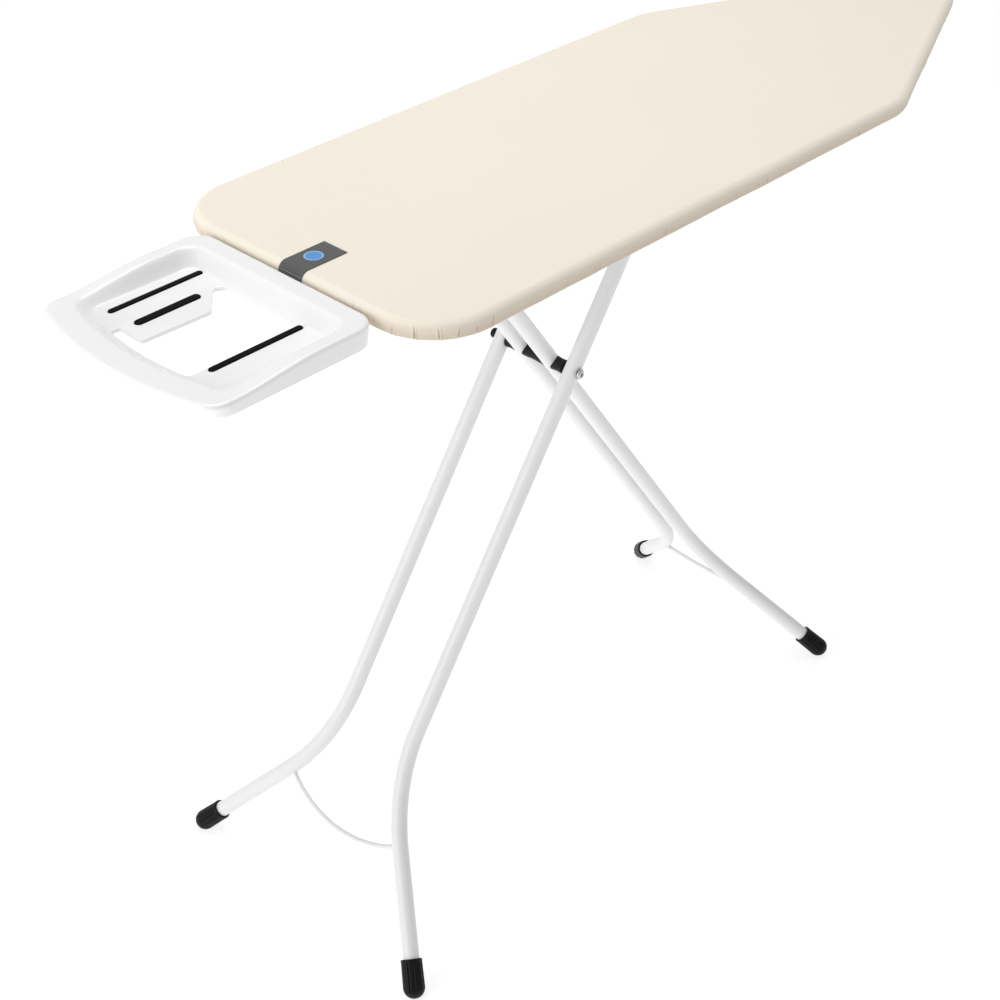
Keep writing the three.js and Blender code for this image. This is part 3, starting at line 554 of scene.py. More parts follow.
def corner_arc(before, here, after, radius):
    """The arc that rounds a corner: its centre, its first angle, and its turn, minus if clockwise."""
    to_before, to_after = (before - here).normalized(), (after - here).normalized()
    half = math.acos(max(-1.0, min(1.0, to_before.dot(to_after)))) / 2
    centre = here + (to_before + to_after).normalized() * (radius / math.sin(half))
    arm = here + to_before * (radius / math.tan(half)) - centre
    turn = math.copysign(math.pi - 2 * half, to_after.x * to_before.y - to_after.y * to_before.x)
    return centre, math.atan2(arm.y, arm.x), turn


def rounded_outline(corners, steps):
    """A polygon with rounded corners as 2-D points: (x, y, radius) for each corner."""
    places = [Vector(corner[:2]) for corner in corners]
    points = []
    for i, (_, _, radius) in enumerate(corners):
        if radius == 0:
            points.append(places[i])
            continue
        centre, start, turn = corner_arc(places[i - 1], places[i], places[(i + 1) % len(places)], radius)
        points += [centre + radius * direction(start + turn * k / steps) for k in range(steps + 1)]
    return points


def raised(outline, z):
    return [Vector((p.x, p.y, z)) for p in outline]


def grown(outline, distance):
    """A dense outline, anticlockwise, moved outwards by distance."""
    moved = []
    for i, here in enumerate(outline):
        along = outline[(i + 1) % len(outline)] - outline[i - 1]
        moved.append(here + Vector((along.y, -along.x)).normalized() * distance)
    return moved


def shaped_ring(centre, size, reach_at, count):
    """A level ring whose distance from its centre is size * reach_at(angle)."""
    return [centre + size * reach_at(a) * Vector((math.cos(a), math.sin(a), 0)) for a in around(count)]


def hex_reach(angle):
    """How far a hexagon reaches at an angle, with its corners at 1."""
    from_flat = (angle + math.pi / 6) % (math.pi / 3) - math.pi / 6
    return math.cos(math.pi / 6) / math.cos(from_flat)


def cross_reach(angle):
    """How far a cross recess reaches at an angle, with the ends of its arms at 1."""
    return 0.42 + 0.58 * abs(math.cos(2 * angle)) ** 3


# -------------------------------------------------------------------------------------------- padded top

def board_track(spacing_at):
    """Stations round the top's edge, anticlockwise. spacing_at(x, y) is the step from there to the next.

    A station is (anchor, outward, radius). Its point at an inset is anchor + outward * (radius - inset).
    """
    corners = [
        (WIDE_END, HALF_WIDTH, END_RADIUS), (WIDE_END, -HALF_WIDTH, END_RADIUS),
        (TAPER_START, -HALF_WIDTH, TAPER_RADIUS), (TAPER_TIP, 0, NOSE_RADIUS),
        (TAPER_START, HALF_WIDTH, TAPER_RADIUS),
    ]
    places = [Vector(corner[:2]) for corner in corners]
    arcs = []
    for i, (_, _, radius) in enumerate(corners):
        centre, start, turn = corner_arc(places[i - 1], places[i], places[(i + 1) % len(places)], radius)
        arcs.append((centre, radius, start, turn))
    stations = []
    for i, (centre, radius, start, turn) in enumerate(arcs):
        turned = 0.0
        while turned < turn:
            outward = direction(start + turned)
            stations.append((centre, outward, radius))
            edge = centre + outward * radius
            turned += spacing_at(edge.x, edge.y) / radius
        outward = direction(start + turn)
        next_centre, next_radius, _, _ = arcs[(i + 1) % len(arcs)]
        leave, arrive = centre + outward * radius, next_centre + outward * next_radius
        length = (arrive - leave).length
        gone = 0.0
        while gone < length - 0.2 * MM:
            edge = leave.lerp(arrive, gone / length)
            stations.append((edge - outward * radius, outward, radius))
            gone += spacing_at(edge.x, edge.y)
    return stations


def at_inset(stations, inset, z):
    return [Vector((*(anchor + outward * (radius - inset)), z)) for anchor, outward, radius in stations]


def inside_board(x, y, margin):
    """True if a place is inside the top's outline by at least margin."""
    taper = (HALF_WIDTH - abs(y) - TAPER_SLOPE * (x - TAPER_START)) / TAPER_SLANT
    if min(HALF_WIDTH - abs(y), x - WIDE_END, taper) < margin:
        return False
    corner = Vector((WIDE_END + END_RADIUS - x, abs(y) - HALF_WIDTH + END_RADIUS))
    if corner.x > 0 and corner.y > 0 and corner.length > END_RADIUS - margin:
        return False
    nose = Vector((x - (NOSE - NOSE_RADIUS), y))
    return nose.x < 0.35 * NOSE_RADIUS or nose.length < NOSE_RADIUS - margin


class Tucks:
    """The small pinched folds that the drawn-in hem makes in the skirt, mostly at the corners."""

    def __init__(self, seed):
        draw = random.Random(seed)
        self.folds = []
        track = board_track(lambda x, y: 2 * MM)
        edge = at_inset(track, 0, 0)
        travelled, due = 0.0, 10 * MM
        for i, (before, here) in enumerate(zip(edge, edge[1:])):
            travelled += (here - before).length
            if travelled < due:
                continue
            outward = track[i][1]
            turning = (track[(i + 12) % len(track)][1] - track[i - 12][1]).length > 0.05
            self.folds.append({
                "at": here.copy(), "along": Vector((-outward.y, outward.x, 0)),
                "width": draw.uniform(0.5, 0.85) * MM,
                "depth": (draw.uniform(1.6, 2.5) if turning else draw.uniform(0.5, 1.5)) * MM,
                "reach": draw.uniform(0.55, 0.95), "slant": draw.uniform(-0.6, 0.6),
            })
            if turning:
                step = draw.uniform(13, 25)
            else:
                step = draw.choice([9, 40, 80, 120]) * draw.uniform(0.8, 1.2)
            due = travelled + step * MM

    def near(self, x, y):
        return min(math.hypot(f["at"].x - x, f["at"].y - y) for f in self.folds)

    def push(self, point, depth_share):
        """How far in (-) or out (+) the skirt stands at a point. depth_share: 0 at its top, 1 at the hem."""
        total = 0.0
        for fold in self.folds:
            offset = point - fold["at"]
            offset.z = 0
            if offset.length > 14 * MM:
                continue
            across = offset.dot(fold["along"]) + fold["slant"] * (1 - depth_share) * 8 * MM
            start = 1 - fold["reach"]
            strength = smoothstep(depth_share, start, start + 0.45)
            width = fold["width"] * (0.5 + 0.7 * strength)
            crease = math.exp(-((across / width) ** 2))
            lips = math.exp(-(((abs(across) - 2.8 * width) / (1.9 * width)) ** 2))
            total += fold["depth"] * strength * (0.35 * lips - crease)
        return total


def top_height(x, y):
    """The ironing surface above or below HEIGHT: level, with a barely uneven padding under it."""
    return 0.22 * MM * noise.noise(Vector((x * 7, y * 7, 0))) - 0.15 * MM


def cover_profile():
    """From the flat's edge to the rolled hem: (inset, drop below the top, share of the tucks)."""
    profile = [(EDGE_RADIUS * (1 - sine), EDGE_RADIUS * versine, 1.0) for sine, versine in quarter(8)[1:]]
    depth = HEIGHT - SKIRT_BOTTOM
    for k in range(1, 9):
        drop = EDGE_RADIUS + (depth - SKIRT_ROUND - EDGE_RADIUS) * k / 8
        profile.append((SKIRT_LEAN * k / 8, drop, 1.0))
    for sine, versine in quarter(4)[1:]:
        profile.append((SKIRT_LEAN + SKIRT_ROUND * versine, depth - SKIRT_ROUND * (1 - sine), 1.0))
    under = SKIRT_LEAN + SKIRT_ROUND
    for k in range(1, 5):
        profile.append((under + (HEM_REACH - under) * k / 4, depth + 0.15 * MM * k, 0.9 - 0.1 * k))
    for k in range(1, 9):
        angle = 1.7 * math.pi * k / 8
        drop = depth + 0.6 * MM - HEM_BEAD * (1 - math.cos(angle))
        profile.append((HEM_REACH + HEM_BEAD * math.sin(angle), drop, 0.4))
    return profile


def cover_rings(stations, tucks):
    """The cover's edge, with its tucks and waves. The steel rim is just behind the skirt, and stays covered."""
    rings = []
    for inset, drop, tucked in cover_profile():
        ring = at_inset(stations, inset, HEIGHT - drop)
        depth_share = min(1.0, max(0.0, (drop - 2.5 * MM) / (14 * MM)))
        room = max(1.0 * MM, RIM_ROOM - inset)
        for point, (_, outward, _) in zip(ring, stations):
            push = tucks.push(point, depth_share) * tucked
            if inset > 4 * MM:
                point.z -= 0.7 * push
                continue
            wave = 0.5 * MM * noise.noise(Vector((point.x * 34, point.y * 34, 3))) * depth_share
            wave += 0.9 * MM * noise.noise(Vector((point.x * 9, point.y * 9, 7))) * min(1, drop / (6 * MM))
            if push < 0:
                push = room * math.tanh(push / room)
            point.xy += outward * (push + max(wave, -0.2 * MM))
        rings.append(ring)
    return rings


def fill_top(build, edge):
    """The flat of the top: a grid of points inside the edge ring, joined into triangles."""
    step = 14 * MM
    margin = EDGE_RADIUS + 0.45 * step
    inside = []
    for column in range(int((NOSE - WIDE_END) / step) + 1):
        for row in range(int(2 * HALF_WIDTH / step) + 1):
            x, y = WIDE_END + column * step, -HALF_WIDTH + row * step
            if inside_board(x, y, margin):
                inside.append((x, y, HEIGHT + top_height(x, y)))
    numbers = edge + build.ring(inside)
    flat = [Vector(build.points[i][:2]) for i in numbers]
    edges = [(i, (i + 1) % len(edge)) for i in range(len(edge))]
    _, _, triangles, came_from, _, _ = geometry.delaunay_2d_cdt(flat, edges, [], 1, 1e-7)
    for triangle in triangles:
        build.faces.append(tuple(numbers[came_from[i][0]] for i in triangle))


def add_cover():
    tucks = Tucks(seed=11)
    fine, coarse = 0.3 * MM, 4 * MM
    stations = board_track(lambda x, y: fine if tucks.near(x, y) < 5 * MM else coarse)
    rim = at_inset(stations, EDGE_RADIUS, HEIGHT)
    for point in rim:
        point.z = HEIGHT + top_height(point.x, point.y)
    build = Build()
    edge = build.ring(rim)
    fill_top(build, edge)
    skirt_top, _ = build.skin(cover_rings(stations, tucks))
    build.bridge(edge, skirt_top)
    cover = finish_piece("cover", build, "cotton", "board", ["fabric_cover"], sharp=80)
    thick = cover.modifiers.new("cloth_thickness", "SOLIDIFY")
    thick.thickness = 0.7 * MM
    thick.offset = -1
    stitches = add_hem_stitches()


def add_hem_stitches():
    """The line of stitches that closes the drawcord channel, seen from below."""
    stations = board_track(lambda x, y: 3.4 * MM)
    middles = at_inset(stations, HEM_REACH - 4.5 * MM, SKIRT_BOTTOM - 0.55 * MM)
    profile = ((-1.15, 0.12), (-0.8, 0.3), (0.8, 0.3), (1.15, 0.12))
    build = Build()
    for middle, (_, outward, _) in zip(middles, stations):
        stitch(build, middle, Vector((-outward.y, outward.x, 0)), Z, profile)
    return finish_piece("cover_hem_stitches", build, "thread", "board", sharp=60)


def add_pad():
    """The foam pad, with soft rounded edges, a little uneven."""
    low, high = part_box("foam_pad")
    stations = board_track(lambda x, y: 6 * MM)
    profile = ((2.54, 0), (2.54, 0.25), (3.04, 0.5), (4.44, 0.75), (6.64, 0.92), (9.64, 1), (12.44, 1))
    rings = []
    for inset, share in profile:
        ring = at_inset(stations, inset * MM, low.z + (high.z - low.z) * share)
        for point in ring:
            point.z += 0.15 * MM * noise.noise(Vector((point.x * 60, point.y * 60, 5))) * share
            point.z = min(point.z, high.z)
        rings.append(ring)
    build = Build()
    first, last = build.skin(rings)
    build.fill(first, [], flip=True)
    build.fill(last, [])
    pad = finish_piece("pad", build, "felt", "board", ["foam_pad"], sharp=50)


def add_plate():
    """The pressed plate: a plain border, and inside it hexagonal cells with a round vent in each."""
    low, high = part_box("top_plate")
    stations = board_track(lambda x, y: 8 * MM)
    edge, border = 2.1 * MM, 26 * MM
    build = Build()
    section = ((edge, 0.05), (edge + border, 0.05), (edge + border, 0), (edge, 0))
    build.loop([at_inset(stations, inset, low.z + z * MM) for inset, z in section])
    pitch, radius, sides = 18 * MM, 5.5 * MM, 12
    row_step = pitch * math.sqrt(3) / 2
    rows = int(HALF_WIDTH / row_step)
    for row in range(-rows, rows + 1):
        for column in range(int((NOSE - WIDE_END) / pitch) + 1):
            x = WIDE_END + (column + (0.5 if row % 2 else 0)) * pitch
            y = row * row_step
            if inside_board(x, y, border - 9 * MM):
                centres = [Vector((x, y, z)) for z in (low.z + 0.1 * MM, high.z)]
                add_cell(build, centres, pitch, radius if inside_board(x, y, border + 8 * MM) else 0, sides)
    finish_piece("vented_plate", build, "paint", "board", ["top_plate"], sharp=30)


def add_cell(build, centres, pitch, vent_radius, sides):
    """The lower and upper face of one cell, with a vent through both if it has a radius."""
    vents = []
    for centre in centres:
        outer = build.ring(shaped_ring(centre, pitch / math.sqrt(3), hex_reach, sides))
        if vent_radius == 0:
            build.cap(outer)
            continue
        vents.append(build.ring(ring_about(centre, X, Y, vent_radius, sides)))
        build.bridge(outer, vents[-1])
    if vents:
        build.bridge(*vents)


# --------------------------------------------------------------------------------------------------- label

def off_label(angle):
    """The direction away from the band's face, where the band heads down at an angle."""
    return Vector((-math.sin(angle), 0, math.cos(angle)))


def label_path(reach, bottom):
    """Along the band from its upper end, over the edge and down: (x, z, angle that it heads down at)."""
    path = []
    for k in range(12):
        path.append((WIDE_END + reach + (EDGE_RADIUS - reach) * k / 12, HEIGHT + 0.3 * MM, 0.0))
    corner = EDGE_RADIUS + 0.4 * MM
    hang_from = HEIGHT - EDGE_RADIUS
    for k in range(11):
        angle = math.pi / 2 * k / 10
        path.append((WIDE_END + EDGE_RADIUS - corner * math.sin(angle),
                     hang_from + corner * math.cos(angle) - 0.05 * MM, angle))
    for k in range(1, 7):
        bulge = (0.4 + 1.5 * math.sin(math.pi * k / 7)) * MM
        path.append((WIDE_END - bulge, hang_from + (bottom - hang_from) * k / 6, math.pi / 2))
    return path


def add_label():
    """The woven band folded over the wide end, with stitched edges and a plain disc sewn on it."""
    low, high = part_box("cover_label")
    half = (high.y - low.y) / 2
    thickness = 0.75 * MM
    path = label_path(high.x - WIDE_END, low.z - 6.5 * MM)
    section = (  # share of the half width, share of the thickness
        (-1, 0.15), (-0.985, 0.75), (-0.955, 1.0), (-0.94, 1.0), (-0.93, 0.55), (-0.9, 0.6), (0.9, 0.6),
        (0.93, 0.55), (0.94, 1.0), (0.955, 1.0), (0.985, 0.75), (1, 0.15), (0.98, 0.0), (-0.98, 0.0),
    )
    rings = []
    for x, z, angle in path:
        out = off_label(angle) * thickness
        rings.append([Vector((x, y * half, z)) + lift * out for y, lift in section])
    build = Build()
    build.capped_skin(rings)
    finish_piece("label_band", build, "label", "board", ["cover_label"], sharp=50)
    add_label_stitches(path, half, 0.68 * thickness)
    add_badge(Vector((WIDE_END + 36 * MM, 1.5 * MM, HEIGHT + 0.3 * MM + 0.6 * thickness)), 9.4 * MM)


def add_label_stitches(path, half, lift):
    """A row of running stitches near each edge of the band, and one across its upper end."""
    pitch, margin = 2.6 * MM, 2.4 * MM
    profile = ((-0.95, 0.1), (-0.7, 0.22), (0.7, 0.22), (0.95, 0.1))
    build = Build()
    for y in (-half + margin, half - margin):
        gone, due = 0.0, pitch / 2
        for (x0, z0, a0), (x1, z1, a1) in zip(path, path[1:]):
            start, end = Vector((x0, y, z0)), Vector((x1, y, z1))
            length = (end - start).length
            while due < gone + length:
                share = (due - gone) / length
                out = off_label(a0 + (a1 - a0) * share)
                stitch(build, start.lerp(end, share) + out * lift, (end - start).normalized(), out, profile)
                due += pitch
            gone += length
    start = Vector((path[0][0] - margin, 0, path[0][1] + lift))
    for k in range(-6, 7):
        stitch(build, start + Y * (k * pitch), Y, Z, profile)
    finish_piece("label_stitches", build, "grey_thread", "board", sharp=60)


def add_badge(centre, radius):
    """A plain blue disc, with a border of paler thread."""
    profile = ((radius, -0.1), (radius, 0.1), (radius * 0.5, 0.12))
    disc = Build()
    first, last = disc.skin([ring_about(centre + z * MM * Z, X, Y, r, 64) for r, z in profile])
    disc.cap(first, flip=True)
    disc.fan(last)
    finish_piece("label_badge", disc, "badge", "board", sharp=40)
    rings = []
    for middle in ring_about(centre, X, Y, radius + 0.9 * MM, 72):
        out = (middle - centre).normalized()
        rings.append(ring_about(middle + 0.08 * MM * Z, out, 0.24 * Z, 1 * MM, 8))
    border = Build()
    border.loop(rings)
    finish_piece("label_badge_border", border, "badge_edge", "board", sharp=80)


# ----------------------------------------------------------------------------------------------- leg frames

def leg_matrix(pair):
    """From a leg frame's own axes (origin at the pivot bolt, -Z down the leg) to the row frame."""
    return Matrix.Translation(PIVOT) @ Matrix.Rotation(pair["lean"], 4, "Y")


def spread(pair, along):
    """How far a tube is from the middle plane, at a distance down the leg that is past its bend."""
    out = pair["y"] + BEND_RADIUS * (1 - math.cos(pair["flare"]))
    down = BEND_START + BEND_RADIUS * math.sin(pair["flare"])
    return out + (along - down) * math.tan(pair["flare"])


def foot_point(pair, side):
    return Vector((0, side * spread(pair, FOOT_ALONG), -FOOT_ALONG))


def leg_line(pair, side, top):
    """Centres and tangents of one tube, from its top to inside its foot cap."""
    straight, steps = 12, 24
    step = (top + BEND_START) / straight
    centres = [Vector((0, side * pair["y"], top - step * k)) for k in range(straight)]
    tangents = [-Z] * straight
    for k in range(steps + 1):
        angle = pair["flare"] * k / steps
        out, down = BEND_RADIUS * (1 - math.cos(angle)), BEND_RADIUS * math.sin(angle)
        centres.append(Vector((0, side * (pair["y"] + out), -BEND_START - down)))
        tangents.append(Vector((0, side * math.sin(angle), -math.cos(angle))))
    centres.append(foot_point(pair, side) - tangents[-1] * (7 * MM))
    tangents.append(tangents[-1])
    return centres, tangents


def add_leg(name, pair, side, top):
    """A bent steel tube. Its upper end shows the wall, with a rolled edge."""
    count = 40
    centres, tangents = leg_line(pair, side, top)
    outside = swept(centres, tangents, X, TUBE, count)
    outside[0] = [p - 0.4 * MM * Z for p in outside[0]]
    bore = TUBE - TUBE_WALL
    lip = []
    for radius, drop in ((bore, 12), (bore, 0.4), (TUBE - 0.8 * MM, 0), (TUBE - 0.4 * MM, 0)):
        lip += swept([centres[0] - drop * MM * Z], tangents[:1], X, radius, count)
    build = Build()
    build.closed_skin(lip + outside)
    finish_piece(name + "_tube", build, "paint", pair["body"], [name], sharp=50, matrix=leg_matrix(pair))


def add_foot_cap(name, pair, side):
    """A rubber cap with broad ribs, a plain collar at its mouth and a rounded end."""
    ribs, per_rib = 12, 10
    profile = []  # (radius, height, depth of the grooves)
    for k in range(11):
        angle = math.pi / 2 * k / 10
        profile.append((CAP_RADIUS * math.sin(angle), -CAP_RADIUS * math.cos(angle), math.sin(angle) ** 2))
    for k in range(1, 9):
        profile.append((CAP_RADIUS - 0.5 * MM * k / 8, (CAP_LENGTH - 4.5 * MM) * k / 8, 1.0))
    for narrower, below, depth in ((0.5, 4.2, 0.2), (0.3, 3.6, 0.0), (0.4, 0.8, 0.0), (0.9, 0, 0.0)):
        profile.append((CAP_RADIUS - narrower * MM, CAP_LENGTH - below * MM, depth))
    for clear, below in ((0.5, 0), (0.1, 0.5), (0.1, 6)):
        profile.append((TUBE + clear * MM, CAP_LENGTH - below * MM, 0.0))
    rings = []
    for radius, height, depth in profile:
        ring = []
        for i, angle in enumerate(around(ribs * per_rib)):
            groove = max(0.0, 1 - abs((i % per_rib) / per_rib - 0.5) / 0.2) ** 1.5
            r = radius - 1.1 * MM * depth * groove
            ring.append(Vector((r * math.cos(angle), r * math.sin(angle), height)))
        rings.append(ring)
    build = Build()
    _, last = build.skin(rings)
    build.fan(last)
    turn = Matrix.Translation(foot_point(pair, side)) @ Matrix.Rotation(side * pair["flare"], 4, "X")
    finish_piece(name + "_rubber", build, "rubber", pair["body"], [name], sharp=50,
                 matrix=leg_matrix(pair) @ turn)


def add_brace(name, pair, along, sag):
    """A thin bowed wire, a little thicker where it is welded to each tube."""
    reach = spread(pair, along) - 0.6 * TUBE
    radius = (reach * reach + sag * sag) / (2 * sag)
    half = math.asin(reach / radius)
    steps = 40
    rings = []
    for k in range(steps + 1):
        angle = half * (2 * k / steps - 1)
        centre = Vector((0, radius * math.sin(angle), -along - sag + radius * (1 - math.cos(angle))))
        tangent = Vector((0, math.cos(angle), math.sin(angle)))
        end = max(0.0, 1 - min(k, steps - k) / 3)
        rings += swept([centre], [tangent], X, BRACE_RADIUS * (1 + 0.35 * end), 20)
    build = Build()
    build.closed_skin(rings)
    finish_piece(name + "_rod", build, "paint", pair["body"], [name], sharp=60, matrix=leg_matrix(pair))


def add_weld(name, pair, centre, axis, radius):
    """A ring of weld bead round a joint, lumpy as a bead is."""
    side = axis.orthogonal().normalized()
    other = axis.cross(side)
    rings = []
    for a in around(72):
        swell = 1 + 0.18 * math.sin(a * 17)
        out = math.cos(a) * side + math.sin(a) * other
        rings.append(ring_about(centre + out * radius, out, axis, WELD * swell, 10))
    build = Build()
    build.loop(rings)
    finish_piece(name, build, "paint", pair["body"], sharp=80, matrix=leg_matrix(pair))


def add_leg_frames():
    for word, side in SIDES:
        add_leg(f"inner_leg_{word}", INNER, side, UPPER_ARM - TUBE * 0.8)
        add_leg(f"outer_leg_{word}", OUTER, side, UPPER_ARM + 10 * MM)
        add_foot_cap(f"inner_foot_cap_{word}", INNER, side)
        add_foot_cap(f"outer_foot_cap_{word}", OUTER, side)
        tube_top = Vector((0, side * INNER["y"], UPPER_ARM - TUBE * 1.05))
        add_weld(f"inner_top_weld_{word}", INNER, tube_top, Z, TUBE)
        rod_end = Vector((0, side * (OUTER["y"] - TUBE), UPPER_ARM))
        add_weld(f"outer_rod_weld_{word}", OUTER, rod_end, Y, 6 * MM)
    add_brace("inner_brace_wire", INNER, 677 * MM, 15 * MM)
    add_brace("outer_brace_wire", OUTER, 667 * MM, 30 * MM)


# ------------------------------------------------------------------------------------------------ the pivot

def add_spacer(name, from_y, to_y, saddle_from, saddle_to):
    """A black spacer along the bolt, hollowed at the ends that hug an inner tube."""
    layers = 14
    rings = []
    for k in range(layers + 1):
        share = k / layers
        radius = SPACER_RADIUS * (1 - 0.07 * math.sin(math.pi * share) ** 2)
        ring = []
        for a in around(64):
            x, z = radius * math.cos(a), radius * math.sin(a)
            dip = math.sqrt((TUBE + 0.15 * MM) ** 2 - x * x)
            start = from_y + (dip if saddle_from else 0)
            end = to_y - (dip if saddle_to else 0)
            ring.append(Vector((x, start + (end - start) * share, z)))
        rings.append(ring)
    build = Build()
    build.closed_skin(rings)
    piece = finish_piece(name + "_moulding", build, "plastic", "inner_legs", [name], sharp=40,
                         matrix=leg_matrix(INNER))
    soften(piece, 0.6 * MM, 3, 50)


def socket_head(build, radius, height, base, socket_radius, socket_depth, reach_at):
    """A domed screw head about Z. base is its underside, and reach_at the outline of its socket."""
    count = 48
    rings = []
    for share, rise in ((0.55, 0), (0.93, 0), (1, 0.12), (1, 0.35)):
        rings.append(circle(radius * share, count, base + height * rise))
    for sine, versine in quarter(6)[1:]:
        dome = radius - (radius - socket_radius * 1.15) * versine
        rings.append(circle(dome, count, base + height * (0.35 + 0.65 * sine)))
    for scale, depth in ((1.0, 0), (0.94, 0.15), (0.8, 1)):
        centre = Vector((0, 0, base + height - depth * socket_depth))
        rings.append(shaped_ring(centre, socket_radius * scale, reach_at, count))
    build.closed_skin(rings)


def along_bolt(y, side):
    """Turns a lathe about Z to run outwards along the pivot bolt from y, on a side of the board."""
    return leg_matrix(OUTER) @ Matrix.Translation((0, y, 0)) @ Matrix.Rotation(-side * math.pi / 2, 4, "X")


def add_pivot_stack():
    """Bolt, washer, nut cap and spacers, all on the axis where the leg frames cross."""
    near = along_bolt(-OUTSIDE - 0.2 * MM, RIGHT)
    washer = Build()
    washer.loop(lathe([(4.2, 0), (7.6, 0), (8.0, 0.3), (8.0, 1.1), (7.6, 1.4), (4.2, 1.4)], 64))
    finish_piece("pivot_washer_plated", washer, "steel", "outer_legs", ["pivot_washer"], matrix=near)
    bolt = Build()
    socket_head(bolt, 6.4 * MM, 4.2 * MM, 1.5 * MM, 3.0 * MM, 2.6 * MM, hex_reach)
    bolt.closed_skin([circle(4 * MM, 32, z) for z in (1.6 * MM, -2 * OUTSIDE - 4 * MM)])
    finish_piece("pivot_bolt_plated", bolt, "steel", "outer_legs", ["pivot_bolt"], matrix=near)
    profile = [(4.6, 0.3), (6.6, 0.2), (7.0, 0.7), (7.0, 4.2), (6.6, 5.6), (5.6, 6.7), (4.2, 7.3), (2.0, 7.7)]
    cap = Build()
    cap.closed_skin(lathe(profile, 64))
    finish_piece("nut_cap_moulding", cap, "plastic", "outer_legs", ["nut_cap"],
                 matrix=along_bolt(OUTSIDE, LEFT))
    add_spacer("centre_spacer", -INNER["y"], INNER["y"], True, True)
    for word, side in SIDES:
        low, high = sorted((side * INNER["y"], side * (OUTER["y"] - TUBE - 0.3 * MM)))
        add_spacer(f"side_spacer_{word}", low, high, side == LEFT, side == RIGHT)


# ------------------------------------------------------------------------------------------------ iron rest

def rim_top(x):
    """Height of the rim: level beside the board, then easing down to the front."""
    return REST_HIGH.z - REST_RIM_DROP * smoothstep(WIDE_END - x, 85 * MM, 195 * MM)


def on_rim(outline, below=0.0):
    return [Vector((p.x, p.y, rim_top(p.x) - below)) for p in outline]


def rest_outline(in_back, in_front, in_side, radius, bow=REST_BOW):
    """The rest's outline, moved in by its own amounts at the board end, the front and the sides."""
    back, front, half = REST_BACK - in_back, REST_FRONT + in_front, REST_HALF - in_side
    first, last = back - radius - 2 * MM, front + bow + radius + 6 * MM
    side_x = [first + (last - first) * k / 17 for k in range(18)]
    bowed = [(front + bow * t * t, half * t, 0) for t in (0.72 - 1.44 * k / 24 for k in range(25))]
    corners = [(back, -half, radius)]
    corners += [(back, half * (k / 4.5 - 1) * 0.75, 0) for k in range(1, 9)]
    corners += [(back, half, radius)]
    corners += [(x, half, 0) for x in side_x]
    corners += [(front + bow, half, radius), *bowed, (front + bow, -half, radius)]
    corners += [(x, -half, 0) for x in reversed(side_x)]
    return rounded_outline(corners, 10)


def rest_opening():
    """The opening in the floor. A tongue that carries the middle strip reaches into it."""
    corners = [(-48, -67, 7), (-48, 54, 6), (-59, 61, 3), (-92, 23, 6), (-182, 26, 4), (-182, 65, 2),
               (-193, 65, 3), (-197, 30, 0), (-198, 0, 0), (-197, -30, 0), (-192, -67, 8)]
    return rounded_outline([(WIDE_END + x * MM, y * MM, r * MM) for x, y, r in corners], 8)


def strip_outline(from_x, to_x, y, half, grow=0.0):
    h = half * MM + grow
    low, high = WIDE_END + from_x * MM - grow, WIDE_END + to_x * MM + grow
    right, left = y * MM - h, y * MM + h
    corners = ((low, right), (high, right), (high, left), (low, left))
    return rounded_outline([(*corner, 0.98 * h) for corner in corners], 8)


def rest_outside():
    """Rings up the rest's skirt, over the crowned rim and down the sloped wall to the floor."""
    foot = rest_outline(0, 8 * MM, 3 * MM, REST_CORNER)
    top = rest_outline(0, 0, 0, REST_CORNER)
    rounding, dip = 4 * MM, 0.3 * MM
    shoulder = rest_outline(rounding, rounding, rounding, REST_CORNER - 3 * MM)
    rim_edge = rest_outline(RIM_BACK - 3 * MM, RIM_FRONT - 6 * MM, RIM_SIDE - 3 * MM, 23 * MM,
                            REST_BOW - 4 * MM)
    floor_edge = rest_outline(RIM_BACK + RIM_SLOPE + 3 * MM, RIM_FRONT + RIM_SLOPE - 1 * MM,
                              RIM_SIDE + RIM_SLOPE + 3 * MM, 18 * MM, REST_BOW - 6 * MM)
    rings = [raised(mix(foot, shoulder, 0.06), REST_BOTTOM)]
    for share in (0.03, 0.1, 0.35, 0.65, 0.9):
        rings.append(mix(raised(foot, REST_BOTTOM), on_rim(top, rounding), share))
    for sine, versine in quarter(7):
        rings.append(on_rim(mix(top, shoulder, versine), rounding * (1 - sine)))
    for share in (0.25, 0.5, 0.75, 0.92):
        crown = 0.35 * MM * math.sin(math.pi * share)
        rings.append(on_rim(mix(shoulder, rim_edge, share), max(0.0, dip - crown)))
    steps = 16
    for k in range(steps + 1):
        share = k / steps
        fall = smoothstep(share, 0, 1) * 0.75 + 0.25 * share
        ring = on_rim(mix(rim_edge, floor_edge, share), dip)
        rings.append(mix(ring, raised(ring, REST_FLOOR), fall))
    return rings


def rest_inside():
    """Rings from the skirt's foot to the floor again, on the underside."""
    wall = REST_WALL
    rim_edge = rest_outline(RIM_BACK - 5 * MM, RIM_FRONT - 5 * MM, RIM_SIDE - 4 * MM, 18 * MM,
                            REST_BOW - 4 * MM)
    floor_edge = rest_outline(RIM_BACK + RIM_SLOPE - 2 * MM, RIM_FRONT + RIM_SLOPE - 2 * MM,
                              RIM_SIDE + RIM_SLOPE - 2 * MM, 13 * MM, REST_BOW - 6 * MM)
    return [
        raised(rest_outline(wall, 8 * MM + wall, 3 * MM + wall, REST_CORNER - wall), REST_BOTTOM),
        on_rim(rest_outline(wall, wall, wall, REST_CORNER - wall), 6 * MM),
        on_rim(rest_outline(6 * MM, 6 * MM, 6 * MM, REST_CORNER - 6 * MM), wall),
        on_rim(rim_edge, wall),
        raised(floor_edge, REST_FLOOR - wall),
    ]


